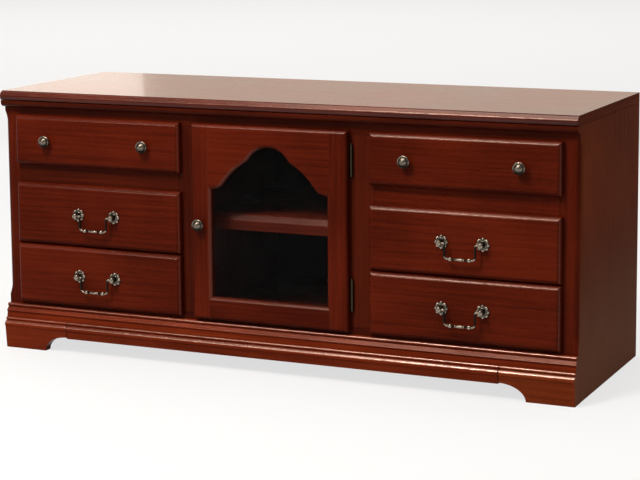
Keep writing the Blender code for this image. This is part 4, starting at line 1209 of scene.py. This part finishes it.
class CABINET_OT_rosette_posts(Operator):
    """Turn the petalled rosettes with the posts that carry the bails"""

    bl_idname = "cabinet.rosette_posts"
    bl_label = "Rosettes and Posts"

    QUIRK_STEPS = 4
    DOME_STEPS = 6

    def turned_post(self, sizes, radius, reach):
        """A plain rosette and post at the origin."""
        edge, rise, crown = sizes.rosette_edge, sizes.rosette_rise, sizes.rosette_crown
        boss, dome = sizes.post_boss, sizes.post_boss / 2
        pencil = Pencil("Z", 0.0, (0.0, 0.0))
        pencil.line((radius, 0.0), (radius, -edge))
        for i in range(1, ROUND_STEPS + 1):
            angle = math.pi / 2 * i / ROUND_STEPS
            inwards, up = (radius - crown) * (1 - math.cos(angle)), (rise - edge) * math.sin(angle)
            pencil.line((radius - inwards, -edge - up))
        quirk = edge / 2
        pencil.line((crown - quirk, -rise + quirk), (crown - 2 * quirk, -rise + quirk))
        pencil.arc((crown - 3 * quirk, -rise + quirk), -90, self.QUIRK_STEPS)
        pencil.line((boss + quirk, -rise), (boss, -rise - quirk), (boss, -reach + dome))
        pencil.arc((boss - dome, -reach + dome), -90, self.DOME_STEPS)
        pencil.line((0.0, -reach))
        return pencil.turn()

    def carve_petals(self, sizes, radius):
        """Draw the rosette in between its petals, at the rim and on its face."""
        steps = TURN_STEPS // sizes.petals
        shoulder = sizes.rosette_crown - sizes.rosette_edge
        for i in range(steps):
            valley = (1 - math.cos(2 * math.pi * i / steps)) / 2

            def on_ray(vert):
                """Whether a vertex lies on a ray of this step, out towards the rim."""
                angle = math.atan2(vert.co.z, vert.co.x) * TURN_STEPS / (2 * math.pi)
                return math.hypot(vert.co.x, vert.co.z) > shoulder and round(angle) % steps == i

            pick("VERT", on_ray)
            grow = 1 + (sizes.petal_depth - 2 * sizes.petal_depth * valley) / radius
            bpy.ops.transform.resize(value=(grow, 1, grow), center_override=(0, 0, 0))
            pick("VERT", lambda vert: on_ray(vert) and vert.co.y < -sizes.rosette_edge / 2)
            bpy.ops.transform.translate(value=(0, sizes.petal_groove * valley, 0))

    def execute(self, context):
        sizes = context.scene.cabinet_sizes
        low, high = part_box("right_middle_drawer_right_post")
        radius = (high.x - low.x) / 2 - sizes.petal_depth
        post = self.turned_post(sizes, radius, high.y - low.y)
        with editing():
            self.carve_petals(sizes, radius)
            face_outwards()
        mouth, axis = -sizes.post_boss, -sizes.post_axis
        start, end = (mouth - sizes.post_boss, axis, 0), (mouth + sizes.post_hole_depth, axis, 0)
        cut(post, add_rod(start, end, sizes.post_hole))
        with editing():
            face_outwards()
        for side in HANDS:
            for level in BAIL_LEVELS:
                for hand in HANDS:
                    node = f"{side}_{level}_drawer_{hand}_post"
                    dress(copy_of(post, seat(node), mirrored=hand == "left"), node, old_metal("pewter"))
        discard(post)
        return {"FINISHED"}


class CABINET_OT_bails(Operator):
    """Draw the bails: tails in the posts, bent legs, and a beaded grip"""

    bl_idname = "cabinet.bails"
    bl_label = "Bails"

    WAIST = 0.85  # the bar between bead and ring, in parts of a leg's radius

    def half_bail(self, sizes, tail_x, drop):
        """The right half at the origin, from the tail in its post to the middle of the grip."""
        leg_x, corner, foot = sizes.bail_leg_x, sizes.bail_corner, sizes.bail_foot_corner
        thick = sizes.bail_leg
        bar = Bar((tail_x, 0.0), sizes.bail_tail)
        bar.run((leg_x + corner + thick, 0.0), sizes.bail_tail)
        bar.run((leg_x + corner, 0.0), thick)
        bar.bend((leg_x + corner, -corner), 90)
        bar.run((leg_x, -drop + foot), thick)
        bar.bend((leg_x - foot, -drop + foot), -90)
        bar.run((sizes.bead_x + sizes.bead_half, -drop), thick)
        bar.bead(-1, sizes.bead_half, sizes.bead)
        bar.run((sizes.grip_half + 2 * sizes.ring_half, -drop), thick * self.WAIST)
        bar.bead(-1, sizes.ring_half, sizes.grip)
        for i in range(1, ROUND_STEPS + 1):
            part = i / ROUND_STEPS
            swell = thick + (sizes.grip - thick) * math.sin(math.pi / 2 * part)
            bar.run((sizes.grip_half * (1 - part), -drop), swell)

    def execute(self, context):
        sizes = context.scene.cabinet_sizes
        low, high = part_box("right_middle_drawer_bail")
        drop = high.z - low.z - sizes.bail_leg - sizes.bead
        self.half_bail(sizes, (high.x - low.x) / 2, drop)
        bpy.ops.mesh.select_all(action="SELECT")
        bpy.ops.mesh.symmetrize(direction="POSITIVE_X")
        pick("EDGE", lambda edge: edge.is_boundary)
        bpy.ops.mesh.edge_face_add()
        face_outwards()
        bpy.ops.object.mode_set(mode="OBJECT")
        bail = context.object
        # The legs are painted dark: partly the patina that hands rub off the grip, partly painted shade in place
        # of the darker surroundings they would mirror.
        leg_foot = drop - sizes.bail_foot_corner / 2
        mark_points(bail, "shade", lambda vert: float(sizes.bail_leg < -vert.co.z < leg_foot))
        for side in HANDS:
            for level in BAIL_LEVELS:
                node = f"{side}_{level}_drawer_bail"
                low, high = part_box(node)
                place = ((low.x + high.x) / 2, (low.y + high.y) / 2, high.z - sizes.bail_leg)
                dress(copy_of(bail, place), node, old_metal("pewter"))
        discard(bail)
        return {"FINISHED"}


class CABINET_OT_door_frame(Operator):
    """Model the door's stiles, bottom rail and arched rail, rebated for the glass"""

    bl_idname = "cabinet.door_frame"
    bl_label = "Door Frame"

    # Crown, neck and shoulder of the arch: radius as a part of its half width, and slope at the outer end.
    ARCH_BENDS = ((0.388, 57), (0.242, 30), (1.152, 55))
    ARCH_STEPS = 6  # segments of the round along the arch

    def with_bead(self, sizes, piece, low, high):
        """A frame piece joined by the strip that holds the glass in its rebate."""
        with editing():
            ease(sizes.eased_edge / 2)
        return join([piece, eased_block(low, high, sizes.eased_edge)])

    def painted(self, piece, node, grain):
        """Finish a frame piece, with a gloss on its rounds."""
        finishes = [wood("cherry", grain, sheen) for sheen in ("satin", "edge", "soft")]
        dress(piece, node, *finishes)
        paint_faces(piece, tilts_up, 1)
        if node != "door_right_stile":
            paint_faces(piece, tilts_right, 2)

    def stile(self, sizes, node, inner_end):
        """An upright with its front edges rounded, and a rebate behind its inner edge."""
        low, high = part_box(node)
        piece = add_block(low, high)
        with editing():
            pick("EDGE", front_edges(low, high, low.y))
            round_edges(sizes.door_round, fullness=sizes.fullness)
        inner = high.x if inner_end == "right" else low.x
        width = sizes.rebate_width if inner_end == "right" else -sizes.rebate_width
        past = sizes.rebate_width
        first, last = sorted((inner - width, inner + width))
        corner = (first, high.y - sizes.rebate_depth, low.z - past)
        cut(piece, add_block(corner, (last, high.y + past, high.z + past)))
        glass_low, glass_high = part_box("door_glass")
        first, last = sorted((inner - width, inner))
        strip = (first, glass_high.y, glass_low.z), (last, high.y, glass_high.z)
        self.painted(self.with_bead(sizes, piece, *strip), node, "Z")

    def bottom_rail(self, sizes):
        """The lower rail, coped over the rounds of the stiles."""
        low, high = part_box("door_bottom_rail")
        cope = Vector((sizes.door_round, 0, -sizes.rail_inset))
        low, high = low - cope, high + cope
        piece = add_block(low, high)
        with editing():
            for z in (low.z, high.z):
                pick("EDGE", lies(y=low.y, z=z))
                round_edges(sizes.door_round, fullness=sizes.fullness)
        past = sizes.rebate_width
        corner = (low.x - past, high.y - sizes.rebate_depth, high.z - sizes.rebate_width)
        cut(piece, add_block(corner, (high.x + past, high.y + past, high.z + past)))
        glass_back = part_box("door_glass")[1].y
        strip = (low.x, glass_back, high.z - sizes.rebate_width), (high.x, high.y, high.z)
        self.painted(self.with_bead(sizes, piece, *strip), "door_bottom_rail", "X")

    def bends(self, half):
        """Radius and turn of each arc of the arch from left to right, for half its width."""
        (crown, steep), (neck, gentle), (shoulder, foot) = self.ARCH_BENDS
        sines = [math.sin(math.radians(slope)) for slope in (steep, gentle, foot)]
        inner = crown * sines[0] + neck * (sines[0] - sines[1]) + shoulder * (sines[2] - sines[1])
        flare = (1 - inner) / sines[2]
        rising = [(flare, foot), (shoulder, gentle - foot), (neck, steep - gentle)]
        arcs = rising + [(crown, -2 * steep)] + rising[::-1]
        return [(part * half, degrees) for part, degrees in arcs]

    def arched_rail(self, sizes):
        """The upper rail: flares, shoulders, necks and a round crown, with a moulded edge."""
        low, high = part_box("door_arched_rail")
        top = high.z - sizes.rail_inset
        crown = high.z - sizes.arch_crown
        start, end = low.x - sizes.door_round, high.x + sizes.door_round
        pencil = Pencil("Y", low.y, (start, top))
        pencil.line((start, low.z), (low.x, low.z))
        heading = 0.0
        for radius, degrees in self.bends((high.x - low.x) / 2):
            aside = Vector((-math.sin(heading), math.cos(heading)))
            pencil.arc(pencil.tip + math.copysign(radius, degrees) * aside, degrees, 2 * ROUND_STEPS)
            heading += math.radians(degrees)
        pencil.line((end, low.z), (end, top))
        piece = pencil.draw_out(high.y - sizes.rebate_depth - low.y)
        with editing():
            pick("EDGE", lies(y=low.y, z=top))
            round_edges(sizes.door_round, fullness=sizes.fullness)
            front = lies(y=low.y)
            pick("EDGE", lambda edge: front(edge) and all(vert.co.z <= crown + NEAR for vert in edge.verts))
            round_edges(sizes.door_round, self.ARCH_STEPS, sizes.fullness)
            ease(sizes.eased_edge / 3)
        # The back of the rail reaches half a rebate's depth into its front, above the glass.
        foot = (low.x, high.y - 1.5 * sizes.rebate_depth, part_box("door_glass")[1].z + sizes.rail_inset)
        back = eased_block(foot, (high.x, high.y, top - sizes.rail_inset), sizes.eased_edge / 2)
        self.painted(join([piece, back]), "door_arched_rail", "X")

    def execute(self, context):
        sizes = context.scene.cabinet_sizes
        self.stile(sizes, "door_left_stile", "right")
        self.stile(sizes, "door_right_stile", "left")
        self.bottom_rail(sizes)
        self.arched_rail(sizes)
        return {"FINISHED"}


class CABINET_OT_door_glass(Operator):
    """Model the pane of the door, with its edges ground"""

    bl_idname = "cabinet.door_glass"
    bl_label = "Door Glass"

    def execute(self, context):
        width = context.scene.cabinet_sizes.eased_edge / 2
        dress(eased_block(*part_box("door_glass"), width), "door_glass", pane())
        return {"FINISHED"}


class CABINET_OT_hinges(Operator):
    """Model the barrel hinges: leaves, knuckles, tips and screws"""

    bl_idname = "cabinet.hinges"
    bl_label = "Hinges"

    KNUCKLES = 5
    SCREW_PLACES = (0.2, 0.8)  # in parts of a leaf's height
    WEB = (0.8, 0.2)  # front and back of the web between leaf and knuckle, in parts of the leaf
    TIP_WIDTH, TIP_ROUND = 0.8, 0.6  # in parts of the barrel's radius
    TIP_STEPS = 5

    def screw(self, head, way, radius):
        """A countersunk screw, flush with a leaf, with a slot across its head."""
        head, way = Vector(head), Vector(way)
        piece = add_rod(head - way * radius / 2, head, radius)
        slot = Vector((radius / 6, radius / 6, 2 * radius))
        cut(piece, add_block(head - slot, head + slot))
        return piece

    def knuckle(self, axis, foot, head, radius):
        """One knuckle of the barrel, with its ends eased."""
        piece = add_rod((*axis, foot), (*axis, head), radius)
        with editing():
            ease(radius / 10)
        return piece

    def tip(self, axis, level, way, radius):
        """The small turned tip at an end of the barrel."""
        end = level + way * radius
        piece = add_rod((*axis, level), (*axis, end), radius * self.TIP_WIDTH)
        with editing():
            pick("EDGE", lies(z=end))
            round_edges(radius * self.TIP_ROUND, self.TIP_STEPS)
        return piece

    def execute(self, context):
        sizes = context.scene.cabinet_sizes
        axis = next(joint["pos_m"] for joint in frame["joints"] if joint["name"] == "door_swing")[:2]
        leaf, radius, play = sizes.leaf, sizes.barrel, sizes.leaf_play
        near = axis[0] - radius - play
        wrap = FACE - play
        plate = wrap - leaf - play
        proud = play / 3  # the screw heads stand out this much
        for word in ("upper", "lower"):
            low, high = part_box(word + "_hinge_frame_leaf")
            door_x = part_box(word + "_hinge_door_leaf")[0].x
            corner = (low.x, wrap - leaf, low.z)
            frame_pieces = [eased_block(corner, (near, wrap, high.z), leaf / 5)]
            frame_pieces.append(eased_block(corner, (low.x + leaf, high.y, high.z), leaf / 5))
            door_pieces = [eased_block((door_x, plate - leaf, low.z), (near, plate, high.z), leaf / 5)]
            pitch = (high.z - low.z) / self.KNUCKLES
            for i in range(self.KNUCKLES):
                foot, head = low.z + pitch * i + play / 2, low.z + pitch * (i + 1) - play / 2
                pieces, y = (door_pieces, plate) if i % 2 else (frame_pieces, wrap)
                front, back = [y - leaf * part for part in self.WEB]
                pieces.append(self.knuckle(axis, foot, head, radius))
                pieces.append(add_block((near - leaf, front, foot), (axis[0], back, head)))
            for part in self.SCREW_PLACES:
                z = low.z + (high.z - low.z) * part
                head = (low.x - proud, (wrap + high.y) / 2, z)
                frame_pieces.append(self.screw(head, (-1, 0, 0), sizes.screw))
                head = ((door_x + near) / 2, plate + proud, z)
                door_pieces.append(self.screw(head, (0, 1, 0), sizes.screw))
            for level, way in ((low.z, -1), (high.z, 1)):
                frame_pieces.append(self.tip(axis, level, way, radius))
            for name, pieces in (("frame", frame_pieces), ("door", door_pieces)):
                dress(join(pieces), f"{word}_hinge_{name}_leaf", old_metal("brass"))
        return {"FINISHED"}


class CABINET_OT_stage(Operator):
    """Set up the floor, the lamps and the camera"""

    bl_idname = "cabinet.stage"
    bl_label = "Studio"

    # The panel's name for a lamp's power, its place, its target, its size and whether gloss mirrors it.
    LAMPS = {
        "overhead_scrim": ("scrim_power", (0.1, -0.6, 3.0), (0.1, -0.6, 0.0), (2.4, 3.6), True),
        "front_panel": ("front_power", (-1.9, -4.0, 2.4), (-0.2, -0.3, 0.5), (1.7, 1.1), True),
        "key_lamp": ("key_power", (-0.9, -2.6, 3.9), (0.0, -0.3, 0.4), (1.2, 1.2), False),
        "spark_lamp": ("spark_power", (-1.0, -3.0, 3.9), (0.0, 0.0, 0.4), (0.6, 0.6), True),
        "back_panel_lamp": ("panel_power", (-3.4, 3.0, 1.45), (-1.0, 0.0, 0.6), (2.1, 1.2), True),
        "ground_lamp": ("ground_power", (-6.0, 9.0, 7.0), (-5.0, 10.0, 0.0), (9.0, 12.0), True),
    }
    WALL_TOP = (0.55, 0.25)  # the bright wall fades out between these heights of a direction
    WALL_SIDE = (-0.1, 0.5)  # and comes in between these, towards the back

    def lamp(self, stage, name):
        """A soft rectangular lamp turned to a point."""
        watts, place, target, size, mirrored = self.LAMPS[name]
        data = bpy.data.lights.new(name, "AREA")
        data.shape = "RECTANGLE"
        data.size, data.size_y = size
        data.energy = getattr(stage, watts)
        data.color = stage.lamp_tint
        lamp = bpy.data.objects.new(name, data)
        lamp.location = place
        lamp.rotation_euler = (Vector(target) - Vector(place)).to_track_quat("-Z", "Y").to_euler()
        lamp.visible_camera = False
        lamp.visible_glossy = mirrored
        bpy.context.scene.collection.objects.link(lamp)

    def pale_floor(self, stage):
        """A pale floor that the eye, metal and glass see nearer to white, with the cabinet's shadow kept."""
        finish = Finish("studio_floor")
        seen = finish.node("ShaderNodeLightPath", {}, {}, "Is Camera Ray")
        for ray in ("Is Glossy Ray", "Is Transmission Ray"):
            seen = seen.most(finish.node("ShaderNodeLightPath", {}, {}, ray))
        paint = finish.mix(seen, colour("floor"), colour("seen_floor"))
        inputs = {"Base Color": paint, "Roughness": 0.7, "Specular IOR Level": 0.1}
        white = finish.node("ShaderNodeEmission", {}, {"Strength": 1.0})
        layers = {0: seen * stage.floor_glow, 1: finish.shader(inputs), 2: white}
        return finish.done(finish.node("ShaderNodeMixShader", {}, layers))

    def sky(self, stage):
        """A bright wall behind the cabinet, in a dim room."""
        finish = Finish("studio_sky", "worlds")
        direction = finish.node("ShaderNodeTexCoord", {}, {}, "Generated")
        low = finish.between(finish.axis(direction, "Z"), *self.WALL_TOP)
        behind = finish.between(finish.axis(direction, "Y"), *self.WALL_SIDE)
        shades = finish.mix(low * behind, tuple(stage.sky), tuple(stage.wall))
        light = finish.node("ShaderNodeBackground", {}, {"Color": shades})
        return finish.done(light, "ShaderNodeOutputWorld")

    def camera(self, stage):
        """The camera at the chosen place, turned, tilted and rolled."""
        ahead = Matrix.Rotation(stage.yaw, 3, "Z") @ Matrix.Rotation(math.pi / 2 - stage.pitch, 3, "X")
        turn = ahead @ Matrix.Rotation(stage.roll, 3, "Z")
        data = bpy.data.cameras.new("studio_camera")
        data.lens = stage.lens
        data.shift_y = stage.shift
        camera = bpy.data.objects.new("studio_camera", data)
        camera.matrix_world = Matrix.Translation(stage.camera_place) @ turn.to_4x4()
        bpy.context.scene.collection.objects.link(camera)
        bpy.context.scene.camera = camera

    def execute(self, context):
        scene = context.scene
        stage = scene.cabinet_stage
        deselect()
        bpy.ops.mesh.primitive_plane_add(size=2 * stage.floor_reach)
        floor = context.object
        floor.name = "studio_floor"
        floor.data.materials.append(self.pale_floor(stage))

        scene.world = self.sky(stage)
        for name in self.LAMPS:
            self.lamp(stage, name)
        self.camera(stage)
        scene.view_settings.view_transform = "Standard"
        return {"FINISHED"}


class CABINET_PT_sidebar(Panel):
    """Lists the cabinet's operators and sizes"""

    bl_label = "Media Cabinet"
    bl_space_type = "VIEW_3D"
    bl_region_type = "UI"
    bl_category = "Cabinet"

    def draw(self, context):
        column = self.layout.column(align=True)
        for step in STEPS:
            column.operator(step.bl_idname)
        for name in GROUPS:
            group = getattr(context.scene, name)
            box = self.layout.box()
            for item in group.__annotations__:
                box.prop(group, item)


STEPS = (
    CABINET_OT_top,
    CABINET_OT_sides,
    CABINET_OT_corner_posts,
    CABINET_OT_boards,
    CABINET_OT_shelf,
    CABINET_OT_base,
    CABINET_OT_drawer_fronts,
    CABINET_OT_drawer_boxes,
    CABINET_OT_knobs,
    CABINET_OT_rosette_posts,
    CABINET_OT_bails,
    CABINET_OT_door_frame,
    CABINET_OT_door_glass,
    CABINET_OT_hinges,
    CABINET_OT_stage,
)
GROUPS = {"cabinet_sizes": CabinetSizes, "cabinet_colours": CabinetColours, "cabinet_stage": CabinetStage}


def register():
    """Add the properties, the operators and the panel to Blender."""
    for group in GROUPS.values():
        bpy.utils.register_class(group)
    for name, group in GROUPS.items():
        setattr(bpy.types.Scene, name, PointerProperty(type=group))
    for step in STEPS:
        bpy.utils.register_class(step)
    bpy.utils.register_class(CABINET_PT_sidebar)


def unregister():
    """Take the panel, the operators and the properties out of Blender."""
    bpy.utils.unregister_class(CABINET_PT_sidebar)
    for step in reversed(STEPS):
        bpy.utils.unregister_class(step)
    for name in GROUPS:
        delattr(bpy.types.Scene, name)
    for group in GROUPS.values():
        bpy.utils.unregister_class(group)


def main():
    """Run every operator in order."""
    register()
    for step in STEPS:
        family, action = step.bl_idname.split(".")
        getattr(getattr(bpy.ops, family), action)()


if __name__ == "__main__":
    main()
